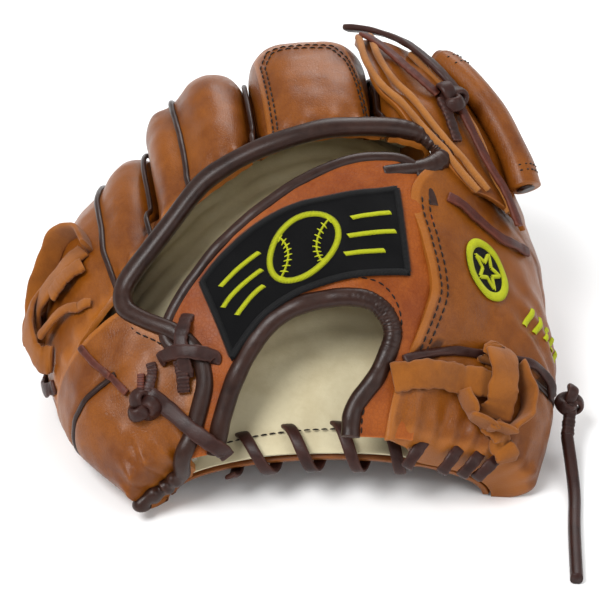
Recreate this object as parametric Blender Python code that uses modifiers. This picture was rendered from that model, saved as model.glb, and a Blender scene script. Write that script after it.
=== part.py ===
"""Baseball glove, built from flat leather patterns that are laid over a glove form.

Every piece is drawn flat, in pattern coordinates:
  across  0 at the little-finger edge, 1 at the thumb edge
  along   0 at the heel, 1 at the fingertips
  height  metres above the palm side of the leather
form() bends those coordinates into the cupped shape of the glove, so pieces that are
apart in the pattern stay apart on the glove.
Z is up, the heel faces -Y, the fingertips +Y and the thumb +X.
"""
import bmesh
import bpy
import numpy as np
from mathutils import Matrix, Vector

MM = 0.001

# ---- driving sizes, in metres --------------------------------------------------------
FORM_WIDTH = 175 * MM        # palm side, little-finger edge to thumb edge
FORM_LENGTH = 194 * MM       # heel to the place where the fingertips turn down
FORM_DOME = 80 * MM          # how high the palm side is cupped
BACK_HEIGHT = 40 * MM        # from palm side to back, over the middle finger
HEEL_STUFFING = 18 * MM      # more of it at the heel's two corners
LEATHER = 2.6 * MM           # outer hide
LINING = 1.5 * MM            # soft inner hide
GAP = 0.35 * MM              # left between pieces that touch
BEAD_GAP = 0.9 * MM          # between a binding and the edge that it covers
LACE_WIDTH = 5.0 * MM        # flat rawhide lace
LACE_THICK = 2.2 * MM
WHIP_RADIUS = 2.0 * MM       # the lace that wraps the heel
WHIP_CLEARANCE = 0.45 * MM   # between the whip lace and its holes
WRIST_BEAD = 3.6 * MM        # radius of the binding round the wrist opening
SLOT_BEAD = 3.4 * MM         # radius of the binding on the finger backs
STRAP_BEAD = 2.4 * MM        # radius of the binding on the strap's upper edge
WELT_RADIUS = 1.3 * MM       # piping in the finger seams
THONG_WIDTH = 13 * MM        # suede thongs of the two side straps
THONG_THICK = 2.4 * MM
WEB_BAR_RADIUS = 6.5 * MM
TAIL_RADIUS = 2.6 * MM       # free end of the thumb lace
FLOOR_BITE = 0.7 * MM        # pressed flat where the glove rests
PINKY_PAD, THUMB_PAD = 9.0 * MM, 8.0 * MM   # thickness of the felt heel pads

# ---- pattern lines -------------------------------------------------------------------
THUMB_SPLIT = 0.655          # crease between the palm and the thumb
SPLIT_GAP = 0.012            # half of the crease, left open for the thumb's fold
KNUCKLE_LINE = [0.34, 0.34, 0.40, 0.46, 0.50, 0.52, 0.53]   # along, edge to crease
KNUCKLE_GAP = 0.006          # between the palm and the finger backs at the top
KNUCKLE_WEDGE = 0.060        # more of it towards the edge, for the fingers' curl


def spline(points, where):
    """Smooth curve through evenly spaced points; where is 0 to 1 along it."""
    points = np.array(points, float)
    if points.ndim == 1:
        points = points[:, None]
    last = len(points) - 1
    place = np.asarray(where, float) * last
    i = np.clip(np.floor(place).astype(int), 0, last - 1)
    f = (place - i)[..., None]
    before = np.where((i > 0)[..., None], points[np.maximum(i - 1, 0)], 2 * points[0] - points[1])
    after = np.where((i < last - 1)[..., None], points[np.minimum(i + 2, last)],
                     2 * points[last] - points[last - 1])
    start, end = points[i], points[i + 1]
    slope_in, slope_out = (end - before) / 2, (after - start) / 2
    return ((2 * f**3 - 3 * f**2 + 1) * start + (f**3 - 2 * f**2 + f) * slope_in
            + (3 * f**2 - 2 * f**3) * end + (f**3 - f**2) * slope_out)


# The form's three guide lines, as shares of its width, length and dome.
GUIDE_SCALE = np.array([FORM_WIDTH, FORM_LENGTH, FORM_DOME])
LITTLE_EDGE = [(-0.30, 0.03, 0.037), (-0.43, 0.12, 0.06), (-0.50, 0.30, 0.09),
               (-0.50, 0.52, 0.09), (-0.42, 0.72, 0.10)]
THUMB_EDGE = [(0.44, 0.03, 0.03), (0.48, 0.18, 0.055), (0.50, 0.37, 0.075),
              (0.49, 0.58, 0.075), (0.42, 0.75, 0.09)]
MIDDLE_LINE = [(0.08, 0.02, 0.30), (0.07, 0.29, 0.71), (0.045, 0.58, 1.06),
               (0.02, 0.84, 1.09), (0.01, 1.02, 0.17)]
# Height of the back above the palm side, as shares of BACK_HEIGHT.
BACK_ACROSS = [0.60, 0.78, 0.84, 0.96, 1.04, 0.99, 0.82, 0.68, 0.56]
BACK_ALONG = [0.62, 1.0, 1.0, 0.95, 0.70]
# The two heel corners are stuffed fuller, by shares of HEEL_STUFFING.
STUFFED_ACROSS = [0.90, 0.55, 0.05, 0.0, 0.0, 0.0, 0.03, 0.50, 1.00]
STUFFED_ALONG = [1.0, 0.55, 0.15, 0.0, 0.0]


def palm_side(across, along):
    across, along = np.broadcast_arrays(np.asarray(across, float), np.asarray(along, float))
    left, right, middle = (spline(line, along) * GUIDE_SCALE
                           for line in (LITTLE_EDGE, THUMB_EDGE, MIDDLE_LINE))
    swing = -np.cos(np.pi * across)[..., None]
    rise = np.sin(np.pi * np.clip(across, 0, 1))[..., None]
    return left * (1 - swing) / 2 + right * (1 + swing) / 2 + rise * (middle - (left + right) / 2)


def surface_normal(across, along, step=2e-3):
    inside = np.clip(across, 0.01, 0.99)
    over = palm_side(inside + step, along) - palm_side(inside - step, along)
    forth = palm_side(inside, along + step) - palm_side(inside, along - step)
    normal = np.cross(over, forth)
    return normal / np.linalg.norm(normal, axis=-1, keepdims=True)


def form(across, along, height):
    """Pattern coordinates to a place on the glove."""
    across, along, height = np.broadcast_arrays(*(np.asarray(v, float)
                                                  for v in (across, along, height)))
    return palm_side(across, along) + height[..., None] * surface_normal(across, along)


def back(across, along):
    """Height of the glove's back above its palm side."""
    across, along = np.broadcast_arrays(np.asarray(across, float), np.asarray(along, float))
    across, along = np.clip(across, 0, 1), np.clip(along, 0, 1)
    plain = spline(BACK_ACROSS, across)[..., 0] * spline(BACK_ALONG, along)[..., 0]
    stuffed = spline(STUFFED_ACROSS, across)[..., 0] * spline(STUFFED_ALONG, along)[..., 0]
    return BACK_HEIGHT * plain + HEEL_STUFFING * stuffed


def knuckle(across):
    """Along-value of the knuckle line, where the finger backs begin."""
    return spline(KNUCKLE_LINE, np.clip(np.asarray(across, float) / THUMB_SPLIT, 0, 1))[..., 0]


def finger_start(across):
    """The fingers' side of the knuckle line, with a wedge that opens to the edge."""
    rise = np.sin(np.pi * np.clip(np.asarray(across, float), 0, 1))
    return knuckle(across) + KNUCKLE_GAP + KNUCKLE_WEDGE * (1 - rise)


# ---- scene ---------------------------------------------------------------------------
for old in list(bpy.data.objects):
    bpy.data.objects.remove(old)

glove = bpy.data.collections.new("baseball_glove")
tools = bpy.data.collections.new("cutters")
bpy.context.scene.collection.children.link(glove)
bpy.context.scene.collection.children.link(tools)

MATERIALS = {
    "glove_leather": ((0.33, 0.115, 0.035), 0.45),
    "strap_leather": ((0.42, 0.11, 0.025), 0.55),
    "dark_binding": ((0.045, 0.022, 0.018), 0.40),
    "dark_lace": ((0.055, 0.026, 0.028), 0.45),
    "cream_lining": ((0.68, 0.60, 0.42), 0.70),
    "black_patch": ((0.012, 0.012, 0.014), 0.85),
    "badge_thread": ((0.60, 0.62, 0.04), 0.70),
    "suede_thong": ((0.40, 0.16, 0.04), 0.80),
    "felt_padding": ((0.50, 0.48, 0.42), 0.95),
    "stay_plastic": ((0.06, 0.06, 0.07), 0.50),
    "white_label": ((0.80, 0.80, 0.78), 0.80),
}


def material_for(node, kind):
    colour, roughness = MATERIALS[kind]
    made = bpy.data.materials.new(node + "_" + kind)
    made.use_nodes = True
    shader = made.node_tree.nodes["Principled BSDF"]
    shader.inputs["Base Color"].default_value = (*colour, 1.0)
    shader.inputs["Roughness"].default_value = roughness
    shader.inputs["Metallic"].default_value = 0.0
    made.diffuse_color = (*colour, 1.0)
    return made


def adopt(obj, name, kind):
    """Name an object, give it its own material and file it under the glove."""
    obj.name = name
    obj.data.name = name
    for home in list(obj.users_collection):
        home.objects.unlink(obj)
    glove.objects.link(obj)
    obj.data.materials.clear()
    obj.data.materials.append(material_for(name, kind))
    return obj


def apply_modifier(obj, modifier):
    bpy.context.view_layer.objects.active = obj
    bpy.ops.object.modifier_apply(modifier=modifier.name)


def sheet(name, kind, place, cells, thickness, inward=True):
    """A grid laid on the glove by place(u, v) and given its thickness by Solidify."""
    columns, rows = cells
    bpy.ops.mesh.primitive_grid_add(x_subdivisions=columns, y_subdivisions=rows, size=1)
    obj = adopt(bpy.context.object, name, kind)
    flat = np.empty(len(obj.data.vertices) * 3)
    obj.data.vertices.foreach_get("co", flat)
    flat = flat.reshape(-1, 3) + 0.5
    laid = place(np.clip(flat[:, 0], 0, 1), np.clip(flat[:, 1], 0, 1))
    obj.data.vertices.foreach_set("co", laid.reshape(-1))
    obj.data.update()
    wall = obj.modifiers.new("wall", "SOLIDIFY")
    wall.thickness = thickness
    wall.offset = -1 if inward else 1
    apply_modifier(obj, wall)
    return obj


def panel(name, kind, edges, height, cells, thickness):
    """A sheet between four pattern edges, its palm-side face at the given height."""
    left, right, low, high = edges

    def place(u, v):
        across = left + (right - left) * u
        low_edge = low(across) if callable(low) else low
        high_edge = high(across) if callable(high) else high
        along = low_edge + (high_edge - low_edge) * v
        rise = height(across, along) if callable(height) else height
        return form(across, along, rise)

    return sheet(name, kind, place, cells, thickness, inward=False)


EVEN = 1.45                  # evens out the spacing of a puffed section's rows


def superellipse(angle, fullness):
    """Share across and rise of a full, puffed section; angle runs -1 to 1."""
    swing = np.sin(angle * np.pi / 2)
    across = np.sign(swing) * np.abs(swing) ** fullness
    return across, np.abs(np.cos(angle * np.pi / 2)) ** fullness


def rounded(share, start, end, fullness=0.62):
    """Spread a 0 to 1 share from start to end, steep where it closes at -1 or 1."""
    angle = start + (end - start) * share
    even = np.where(np.abs(angle) < 0.5, 0.5 * np.abs(2 * angle) ** EVEN,
                    1 - 0.5 * np.abs(2 - 2 * np.abs(angle)) ** EVEN)
    swing, rise = superellipse(np.sign(angle) * even, fullness)
    first, _ = superellipse(start, fullness)
    last, _ = superellipse(end, fullness)
    return (swing - first) / (last - first), rise


def puffed(left, right, low, high, base, left_close=-1.0, right_close=1.0, tip_close=1.0):
    """Shape of a leather back over a strip of the pattern, as place(u, v, lift)."""

    def place(u, v, lift=0.0):
        run, run_rise = rounded(v, 0.0, tip_close) if tip_close else (v, 1.0)
        start = left_close(run) if callable(left_close) else left_close
        side, side_rise = rounded(u, start, right_close)
        left_edge = left(run) if callable(left) else left
        right_edge = right(run) if callable(right) else right
        across = left_edge + (right_edge - left_edge) * side
        low_edge = low(across) if callable(low) else low
        high_edge = high(across) if callable(high) else high
        along = low_edge + (high_edge - low_edge) * run
        crown = back(across, along) + lift
        return form(across, along, base + (crown - base) * side_rise * run_rise)

    return place


def patch_on(name, kind, shape, u_range, v_range, lift, cells, thickness):
    """A flat piece sewn on a puffed back."""

    def place(u, v):
        return shape(u_range[0] + (u_range[1] - u_range[0]) * u,
                     v_range[0] + (v_range[1] - v_range[0]) * v, lift)

    return sheet(name, kind, place, cells, thickness, inward=False)


def frames(points, normals):
    """Unit directions along a route and across it, square to the given normals."""
    ahead = np.gradient(points, axis=0)
    ahead /= np.linalg.norm(ahead, axis=1, keepdims=True)
    side = np.cross(ahead, normals)
    side /= np.linalg.norm(side, axis=1, keepdims=True)
    return ahead, side


def strip(name, kind, points, normals, width, thickness, steps=28):
    """A flat lace or thong along a route, lying square to the normals."""
    share = np.linspace(0, 1, steps + 1)
    route = spline(points, share)
    facing = spline(normals, share)
    _, side = frames(route, facing)

    def place(u, v):
        i = np.rint(u * steps).astype(int)
        return route[i] + side[i] * ((0.5 - v) * width)[:, None]

    obj = sheet(name, kind, place, (steps, 2), thickness, inward=True)
    return obj


def lay(shape, stops, count):
    """Points and outward normals along pattern stops (u, v, mm above a shape)."""
    u, v, above = spline(stops, np.linspace(0, 1, count)).T
    step = 2e-3
    across = shape(np.clip(u + step, 0, 1), v) - shape(np.clip(u - step, 0, 1), v)
    along = shape(u, np.clip(v + step, 0, 1)) - shape(u, np.clip(v - step, 0, 1))
    normals = np.cross(across, along)
    normals /= np.linalg.norm(normals, axis=1, keepdims=True)
    return shape(u, v) + normals * above[:, None] * MM, normals


def laid_strip(name, kind, shape, stops, width, thickness, steps=20):
    points, normals = lay(shape, stops, 24)
    return strip(name, kind, points, normals, width, thickness, steps)


def laid_tube(name, kind, shape, stops, radius, count=20):
    points, _ = lay(shape, stops, count)
    return tube(name, kind, points, radius, 1)


KNOT_POINTS = 30


def knot(name, kind, shape, stop, size, radius):
    """A drawn-up knot on a shape: a trefoil of lace, flattened on the leather."""
    u, v, above = stop
    centre, normal = lay(shape, [(u, v, above), (u, v, above)], 2)
    up = Vector(normal[0])
    turn = up.to_track_quat("Z", "Y")
    angle = np.linspace(0, 2 * np.pi, KNOT_POINTS, endpoint=False)
    loop = np.c_[np.sin(angle) + 2 * np.sin(2 * angle), np.cos(angle) - 2 * np.cos(2 * angle),
                 -np.sin(3 * angle)] * size
    points = [centre[0] + np.array(turn @ Vector(point)) for point in loop]
    return tube(name, kind, np.array(points), radius, 1, closed=True)


def tube(name, kind, points, radius, resolution=2, closed=False):
    """A round bead or cord: a poly curve with a bevel and filled caps."""
    curve = bpy.data.curves.new(name, "CURVE")
    curve.dimensions = "3D"
    curve.bevel_depth = radius
    curve.bevel_resolution = resolution
    curve.use_fill_caps = not closed
    line = curve.splines.new("POLY")
    line.points.add(len(points) - 1)
    line.points.foreach_set("co", np.c_[points, np.ones(len(points))].reshape(-1))
    line.use_cyclic_u = closed
    raw = bpy.data.objects.new(name + "_curve", curve)
    bpy.context.scene.collection.objects.link(raw)
    bpy.context.view_layer.update()
    mesh = bpy.data.meshes.new_from_object(raw.evaluated_get(
        bpy.context.evaluated_depsgraph_get()))
    bpy.data.objects.remove(raw)
    shell = bmesh.new()
    shell.from_mesh(mesh)
    bmesh.ops.remove_doubles(shell, verts=shell.verts, dist=1e-6)
    bmesh.ops.recalc_face_normals(shell, faces=shell.faces)
    shell.to_mesh(mesh)
    shell.free()
    obj = bpy.data.objects.new(name, mesh)
    bpy.context.scene.collection.objects.link(obj)
    return adopt(obj, name, kind)


def cutter(name, points, radius):
    obj = tube(name, "dark_lace", points, radius, resolution=2)
    glove.objects.unlink(obj)
    tools.objects.link(obj)
    obj.hide_render = True
    obj.display_type = "WIRE"
    return obj


def cut(target, tool):
    hole = target.modifiers.new("hole", "BOOLEAN")
    hole.operation = "DIFFERENCE"
    hole.solver = "EXACT"
    hole.object = tool
    apply_modifier(target, hole)


# ---- palm ----------------------------------------------------------------------------
PALM_EDGE = THUMB_SPLIT - SPLIT_GAP / 2
LINER_HEIGHT = LEATHER + GAP
SHELL_BASE = LEATHER + 5 * GAP          # backs stand on the palm leather
WHIP_STOP = 0.02                        # whip lace centre, along the pattern
WHIP_ALONG = 0.040                      # its reach either side of the heel edge
WHIP_RISE = 7.0 * MM
PINKY_SEAM = 0.222                      # between the side shell and the strap

# Inner edge of the wrist strap (the wrist opening) and its outer edge, heel to heel.
WRIST_EDGE = [(0.275, 0.005), (0.32, 0.07), (0.37, 0.15), (0.43, 0.21), (0.51, 0.24),
              (0.575, 0.225), (0.60, 0.165), (0.575, 0.10), (0.545, 0.05), (0.555, 0.005)]
STRAP_EDGE = [(0.232, 0.005), (0.232, 0.09), (0.236, 0.18), (0.262, 0.29), (0.40, 0.375),
              (0.60, 0.455), (0.643, 0.29), (0.643, 0.15), (0.643, 0.07), (0.643, 0.005)]

# The patch on the strap: its band over the strap's width and its two slanted sides.
PATCH_THICK = 1.4 * MM
PATCH_BAND = (0.10, 0.86)
PATCH_LEFT = (0.20, 0.19)
PATCH_RIGHT = (0.665, -0.14)


def strap_point(u, v, above=0.0):
    """Place on the wrist strap: u heel to heel, v from the opening outwards."""
    inner, outer = spline(WRIST_EDGE, u), spline(STRAP_EDGE, u)
    across, along = (inner + (outer - inner) * np.asarray(v)[..., None]).T
    return form(across, along, back(across, along) + above)


def strap_sheet(name, kind, u_range, v_range, above, cells, thickness, inward):
    def place(u, v):
        return strap_point(u_range[0] + (u_range[1] - u_range[0]) * u,
                           v_range[0] + (v_range[1] - v_range[0]) * v, above)

    return sheet(name, kind, place, cells, thickness, inward)


def patch_place(u, v):
    """The patch leans with the strap: its sides slant over the strap's width."""
    low, high = PATCH_BAND
    across_strap = low + (high - low) * v
    left = PATCH_LEFT[0] + PATCH_LEFT[1] * across_strap
    right = PATCH_RIGHT[0] + PATCH_RIGHT[1] * across_strap
    return strap_point(left + (right - left) * u, across_strap, 2 * GAP)


def edge_bead(name, u_range, v_edge, radius, count):
    """A binding along one edge of the strap, clear of it by the usual gap."""
    u = np.linspace(*u_range, count)
    edge = strap_point(u, np.full(count, v_edge), -LEATHER / 2)
    inside = strap_point(u, np.full(count, 0.05 + 0.9 * v_edge), -LEATHER / 2)
    ahead, _ = frames(edge, edge - inside)
    out = edge - inside
    out -= ahead * np.sum(out * ahead, axis=1, keepdims=True)
    out /= np.linalg.norm(out, axis=1, keepdims=True)
    return tube(name, "dark_binding", edge + out * (radius + BEAD_GAP), radius, 1)


def build_palm():
    def palm_top(across):
        return knuckle(across) - KNUCKLE_GAP

    panel("palm_shell", "glove_leather", (0.02, PALM_EDGE, 0.0, palm_top), 0.0, (16, 10), LEATHER)
    panel("palm_liner", "cream_lining", (0.10, PALM_EDGE - 0.01, 0.0, palm_top), LINER_HEIGHT,
          (12, 8), LINING)
    side = puffed(0.0, PINKY_SEAM, 0.0, palm_top, SHELL_BASE, -1.0, 0.0, 0.0)
    sheet("pinky_side_shell", "glove_leather", side, (10, 12), LEATHER)
    inner = LINER_HEIGHT + LINING + GAP
    panel("heel_pad_pinky", "felt_padding", (0.11, 0.205, 0.03, 0.24), inner, (4, 6),
          PINKY_PAD)
    panel("care_label", "white_label", (0.44, 0.50, 0.27, 0.33), inner, (2, 2), 0.8 * MM)

    strap_sheet("wrist_strap", "strap_leather", (0, 1), (0, 1), 0.0, (34, 5), LEATHER, True)
    strap_sheet("strap_lining", "cream_lining", (0.03, 0.97), (0.04, 0.96), -LEATHER - 2 * GAP,
                (26, 2), LINING, True)
    sheet("wrist_patch", "black_patch", patch_place, (14, 4), PATCH_THICK, inward=False)
    edge_bead("wrist_binding", (0.0, 1.0), 0.0, WRIST_BEAD, 38)
    edge_bead("strap_top_binding", (0.30, 0.60), 1.0, STRAP_BEAD, 22)
    return side


def whip_route(across_range, turns, per_turn=10):
    """Helix round the heel edge, through the leather once on every turn."""
    angle = np.linspace(0, 2 * np.pi * turns, turns * per_turn + 1)
    across = np.linspace(*across_range, len(angle))
    along = WHIP_STOP + WHIP_ALONG * np.cos(angle + np.pi)
    middle = (LINER_HEIGHT + LINING) / 2
    return form(across, along, middle + WHIP_RISE * np.sin(angle + np.pi))


def whip_lace(name, across_range, turns, through):
    route = whip_route(across_range, turns)
    tube(name, "dark_lace", route, WHIP_RADIUS, 1)
    reamer = cutter(name + "_reamer", route, WHIP_RADIUS + WHIP_CLEARANCE)
    for target in through:
        cut(bpy.data.objects[target], reamer)


# ---- fingers -------------------------------------------------------------------------
WELT_ABOVE = 2.2                        # mm, centre of a welt above its seam
STALLS = {"pinky": (0.0, 0.268), "ring": (0.275, 0.415), "middle": (0.422, 0.573),
          "index": (0.580, 0.648)}
TIP = 1.0


def build_fingers():
    panel("finger_front", "glove_leather", (0.02, PALM_EDGE, finger_start, 0.985), 0.0, (16, 9),
          LEATHER)
    shapes = {}
    for finger, (left, right) in STALLS.items():
        shape = puffed(left, right, finger_start, TIP, SHELL_BASE)
        columns = {"pinky": 14, "index": 6}.get(finger, 10)
        sheet(finger + "_finger_back", "glove_leather", shape, (columns, 12), LEATHER)
        shapes[finger] = shape
    for finger, u in (("pinky", 0.66), ("ring", 0.50)):
        laid_tube(finger + "_welt", "dark_binding", shapes[finger],
                  [(u, 0.03, WELT_ABOVE), (u, 0.4, WELT_ABOVE), (u, 0.8, WELT_ABOVE)], WELT_RADIUS, 14)
    patch_on("middle_finger_pad", "glove_leather", shapes["middle"], (0.2, 0.8), (1 / 12, 8 / 12),
             3 * GAP, (6, 7), 1.6 * MM)
    stops = np.linspace(0.235, 0.640, 30)
    centre = finger_start(stops) - 0.026
    tube("finger_binding", "dark_binding",
         form(stops, centre, back(stops, centre) - SLOT_BEAD), SLOT_BEAD, 1)
    return shapes


# ---- thumb ---------------------------------------------------------------------------
THUMB_START = THUMB_SPLIT + SPLIT_GAP / 2
CROTCH = 0.50                # along, where the web leaves the crease
THUMB_TIP = 0.95
THUMB_TIP_INNER = 0.84       # across, inner edge of the thumb's tip
BADGE_ACROSS, BADGE_ALONG = (0.05, 0.185), (0.165, 0.235)   # shares of the thumb back
BADGE_THICK = 1.2 * MM
STAY_THICK = 2.5 * MM


def thumb_inner(run):
    """Inner edge of the thumb: the crease, then the web side up to the tip."""
    beyond = np.clip((np.asarray(run, float) * THUMB_TIP - CROTCH) / (THUMB_TIP - CROTCH), 0, 1)
    return THUMB_START + (THUMB_TIP_INNER - THUMB_START) * beyond


def thumb_close(run):
    """The back comes down to the palm side only beyond the crotch."""
    return -np.clip((np.asarray(run, float) - 0.42) / 0.16, 0, 1)


def build_thumb():
    shape = puffed(thumb_inner, 1.0, 0.0, THUMB_TIP, SHELL_BASE, thumb_close, 1.0)
    sheet("thumb_back_shell", "glove_leather", shape, (12, 16), LEATHER)

    def front(u, v):
        run = v * 0.97
        inner = thumb_inner(run) + 0.003
        return form(inner + (0.98 - inner) * u, run * THUMB_TIP, 0.0)

    sheet("thumb_palm_shell", "glove_leather", front, (8, 14), LEATHER, inward=False)

    def lining(u, v):
        run = 0.01 + v * 0.55
        inner = thumb_inner(run) + 0.022
        return form(inner + (0.90 - inner) * u, run * THUMB_TIP, LINER_HEIGHT)

    sheet("thumb_liner", "cream_lining", lining, (6, 9), LINING, inward=False)
    inner = LINER_HEIGHT + LINING + GAP
    panel("heel_pad_thumb", "felt_padding", (0.73, 0.87, 0.04, 0.26), inner, (5, 6),
          THUMB_PAD)
    panel("thumb_stay", "stay_plastic", (0.78, 0.87, 0.28, 0.48), inner, (3, 6), STAY_THICK)
    patch_on("thumb_badge", "badge_thread", shape, BADGE_ACROSS, BADGE_ALONG,
             2.5 * GAP, (5, 5), BADGE_THICK)
    return shape


# ---- web -----------------------------------------------------------------------------
WEB_BAR_ACROSS, WEB_BAR_ALONG = (0.640, 0.745), (0.755, 0.655)
WEB_BAR_LIFT = 5 * MM        # of the bar above the backs, for the thumb's fold
WEB_BORE_DEPTH = 16 * MM     # of the hollow in the bar's rolled end
WEB_CLEAR = 0.030            # between the web and the thumb, for the thumb's fold
WEB_HEIGHT = 14 * MM         # of the web's face above the palm side
WEB_LEATHER = 3.0 * MM


def web_right(along):
    return thumb_inner(along / THUMB_TIP) - WEB_CLEAR


def build_web():
    across, along = np.linspace(*WEB_BAR_ACROSS, 9), np.linspace(*WEB_BAR_ALONG, 9)
    centre = form(across, along, back(across, along) + WEB_BAR_RADIUS + WEB_BAR_LIFT)
    bar = tube("web_top_bar", "glove_leather", centre, WEB_BAR_RADIUS, 3)
    ends = centre[-1] - centre[-2]
    reach = ends / np.linalg.norm(ends)
    end = centre[-1]
    bore = cutter("web_bar_bore", np.array([end - reach * WEB_BORE_DEPTH, end + reach * 4 * MM]),
                  WEB_BAR_RADIUS * 0.55)
    cut(bar, bore)
    for name, low, high in (("web_post", 0.65, 0.90),):
        middle = 0.5 * (0.662 + web_right(0.5 * (low + high)))
        panel(name, "glove_leather", (middle - 0.012, middle + 0.012, low, high), WEB_HEIGHT,
              (2, 8), WEB_LEATHER)
    for name, along in (("web_cross_strap", 0.80), ("web_base_strap", 0.68)):
        panel(name, "glove_leather", (0.664, web_right(along - 0.02) , along - 0.02, along + 0.02),
              WEB_HEIGHT + WEB_LEATHER + GAP, (6, 2), WEB_LEATHER)


# ---- laces, thongs and knots ---------------------------------------------------------
def build_side_laces(side, strap):
    """The lacing that ties the wrist strap to the little-finger side."""
    thick = LACE_THICK
    seat = 2 * GAP / MM + LACE_THICK / MM
    laid_strip("heel_knot_lace", "dark_lace", side, [(0.62, 0.60, seat), (0.80, 0.52, seat),
               (0.95, 0.40, seat)], 8 * MM, thick, 12)
    laid_strip("side_lace", "dark_lace", side, [(0.86, 0.95, seat), (0.84, 0.80, seat),
               (0.80, 0.68, seat)], 4 * MM, thick, 10)
    laid_strip("heel_corner_lace", "dark_lace", side, [(0.94, 0.10, seat), (0.72, 0.16, seat),
               (0.52, 0.08, seat), (0.42, 0.05, seat)], 7 * MM, thick, 12)
    laid_strip("strap_lace_band", "dark_lace", strap, [(0.30, 0.95, seat), (0.27, 0.72, seat),
               (0.235, 0.46, seat)], 6 * MM, thick, 12)
    laid_strip("strap_lace_tail", "dark_lace", strap, [(0.25, 0.93, seat), (0.20, 0.93, seat),
               (0.15, 0.93, seat)], 5 * MM, thick, 12)
    laid_tube("strap_end_roll", "dark_binding", strap, [(0.20, 0.52, 5.2), (0.13, 0.52, 5.2),
              (0.03, 0.60, 5.2)], 4.0 * MM, 12)


def build_pinky_thong(pinky):
    seat = 2 * GAP / MM + THONG_THICK / MM
    laid_strip("pinky_thong", "suede_thong", pinky, [(0.62, 0.13, seat), (0.50, 0.12, seat),
               (0.38, 0.14, seat), (0.28, 0.19, seat)], THONG_WIDTH, THONG_THICK, 12)
    knot("pinky_thong_knot", "suede_thong", pinky, (0.50, 0.12, 9.8), 3.4 * MM, 2.4 * MM)
    laid_strip("pinky_edge_lace", "dark_lace", pinky, [(0.30, 0.06, 3.0), (0.22, 0.18, 3.0),
               (0.18, 0.32, 3.0)], LACE_WIDTH, LACE_THICK, 10)


def build_thumb_laces(thumb):
    seat = 2 * GAP / MM + THONG_THICK / MM
    laid_strip("thumb_thong", "suede_thong", thumb, [(0.02, 0.070, seat), (0.08, 0.072, seat),
               (0.14, 0.076, seat)], THONG_WIDTH, THONG_THICK, 12)
    knot("thumb_thong_knot", "suede_thong", thumb, (0.24, 0.085, 6.6), 3.6 * MM, 2.6 * MM)
    laid_tube("thumb_welt", "dark_binding", thumb, [(0.03, 0.115, 2.2), (0.12, 0.12, 2.2),
              (0.25, 0.135, 2.2), (0.42, 0.165, 2.2)], WELT_RADIUS, 12)
    knot("thumb_lace_knot", "dark_lace", thumb, (0.50, 0.17, 6.4), 2.7 * MM, 2.2 * MM)


def build_web_laces(fingers):
    """The lace bundle from the index fingertip over the crotch."""
    laid_strip("web_lace", "dark_lace", fingers["index"], [(0.50, 0.42, 3.4), (0.55, 0.26, 3.4),
               (0.60, 0.10, 3.4)], LACE_WIDTH, LACE_THICK, 12)
    knot("web_lace_knot", "dark_lace", fingers["index"], (0.62, 0.045, 6.4), 2.8 * MM, 2.0 * MM)


# Free lace end, in mm, from the thumb knot down onto the surface.
TAIL_ROUTE = [(113, -69, 12), (114, -84, 6), (114, -98, 2.8), (112, -118, 2.8), (110, -148, 2.8)]


def build_lace_tail():
    tube("thumb_lace_tail", "dark_lace", np.array(TAIL_ROUTE) * MM, TAIL_RADIUS, 2)


def stand_on_floor():
    """Stand the glove on z = 0 about the origin and cut its lowest leather flat there."""
    made = list(glove.objects)
    corners = np.array([vertex.co for obj in made for vertex in obj.data.vertices])
    low, high = corners.min(axis=0), corners.max(axis=0)
    shift = Vector((-(low[0] + high[0]) / 2, -(low[1] + high[1]) / 2, -low[2] - FLOOR_BITE))
    for obj in made:
        obj.data.transform(Matrix.Translation(shift))
        if min(vertex.co.z for vertex in obj.data.vertices) >= 0:
            continue
        solid = bmesh.new()
        solid.from_mesh(obj.data)
        everything = solid.verts[:] + solid.edges[:] + solid.faces[:]
        sliced = bmesh.ops.bisect_plane(solid, geom=everything, plane_co=(0, 0, 0),
                                        plane_no=(0, 0, -1), clear_outer=True)
        rim = [item for item in sliced["geom_cut"] if isinstance(item, bmesh.types.BMEdge)]
        bmesh.ops.holes_fill(solid, edges=rim)
        solid.to_mesh(obj.data)
        solid.free()
    return shift


def hang_on_joints(shift):
    """The moving bodies' pieces turn about empties that stand on their joint axes."""
    crown = form(FINGER_PIVOT_ACROSS, knuckle(FINGER_PIVOT_ACROSS), -PIVOT_DEPTH)
    heel = form(THUMB_SPLIT, 0.0, -PIVOT_DEPTH)
    crotch = form(THUMB_SPLIT, CROTCH, -PIVOT_DEPTH)
    crease = Vector(crotch - heel).normalized()
    for joint, place, axis, nodes in (("finger_curl", crown, Vector((-1, 0, 0)), FINGER_NODES),
                                      ("thumb_fold", heel, crease, THUMB_NODES)):
        pivot = bpy.data.objects.new(joint + "_axis", None)
        pivot.location = Vector(place) + shift
        glove.objects.link(pivot)
        pivot["axis"] = axis
        for name in nodes:
            obj = bpy.data.objects[name]
            obj.parent = pivot
            obj.data.transform(Matrix.Translation(-pivot.location))


FINGER_PIVOT_ACROSS = 0.46   # where the knuckle axis touches the palm side
PIVOT_DEPTH = 3.0 * MM       # of both joint axes below the palm side
FINGER_NODES = ["finger_front", "pinky_finger_back", "ring_finger_back", "middle_finger_back",
                "index_finger_back", "pinky_welt", "ring_welt", "middle_finger_pad",
                "finger_binding", "pinky_thong", "pinky_thong_knot", "pinky_edge_lace",
                "web_top_bar", "web_post", "web_cross_strap", "web_base_strap", "web_lace",
                "web_lace_knot"]
THUMB_NODES = ["thumb_back_shell", "thumb_palm_shell", "thumb_liner", "heel_pad_thumb",
               "thumb_stay", "thumb_badge", "thumb_thong", "thumb_thong_knot", "thumb_welt",
               "thumb_lace_knot", "thumb_lace_tail"]

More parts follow.
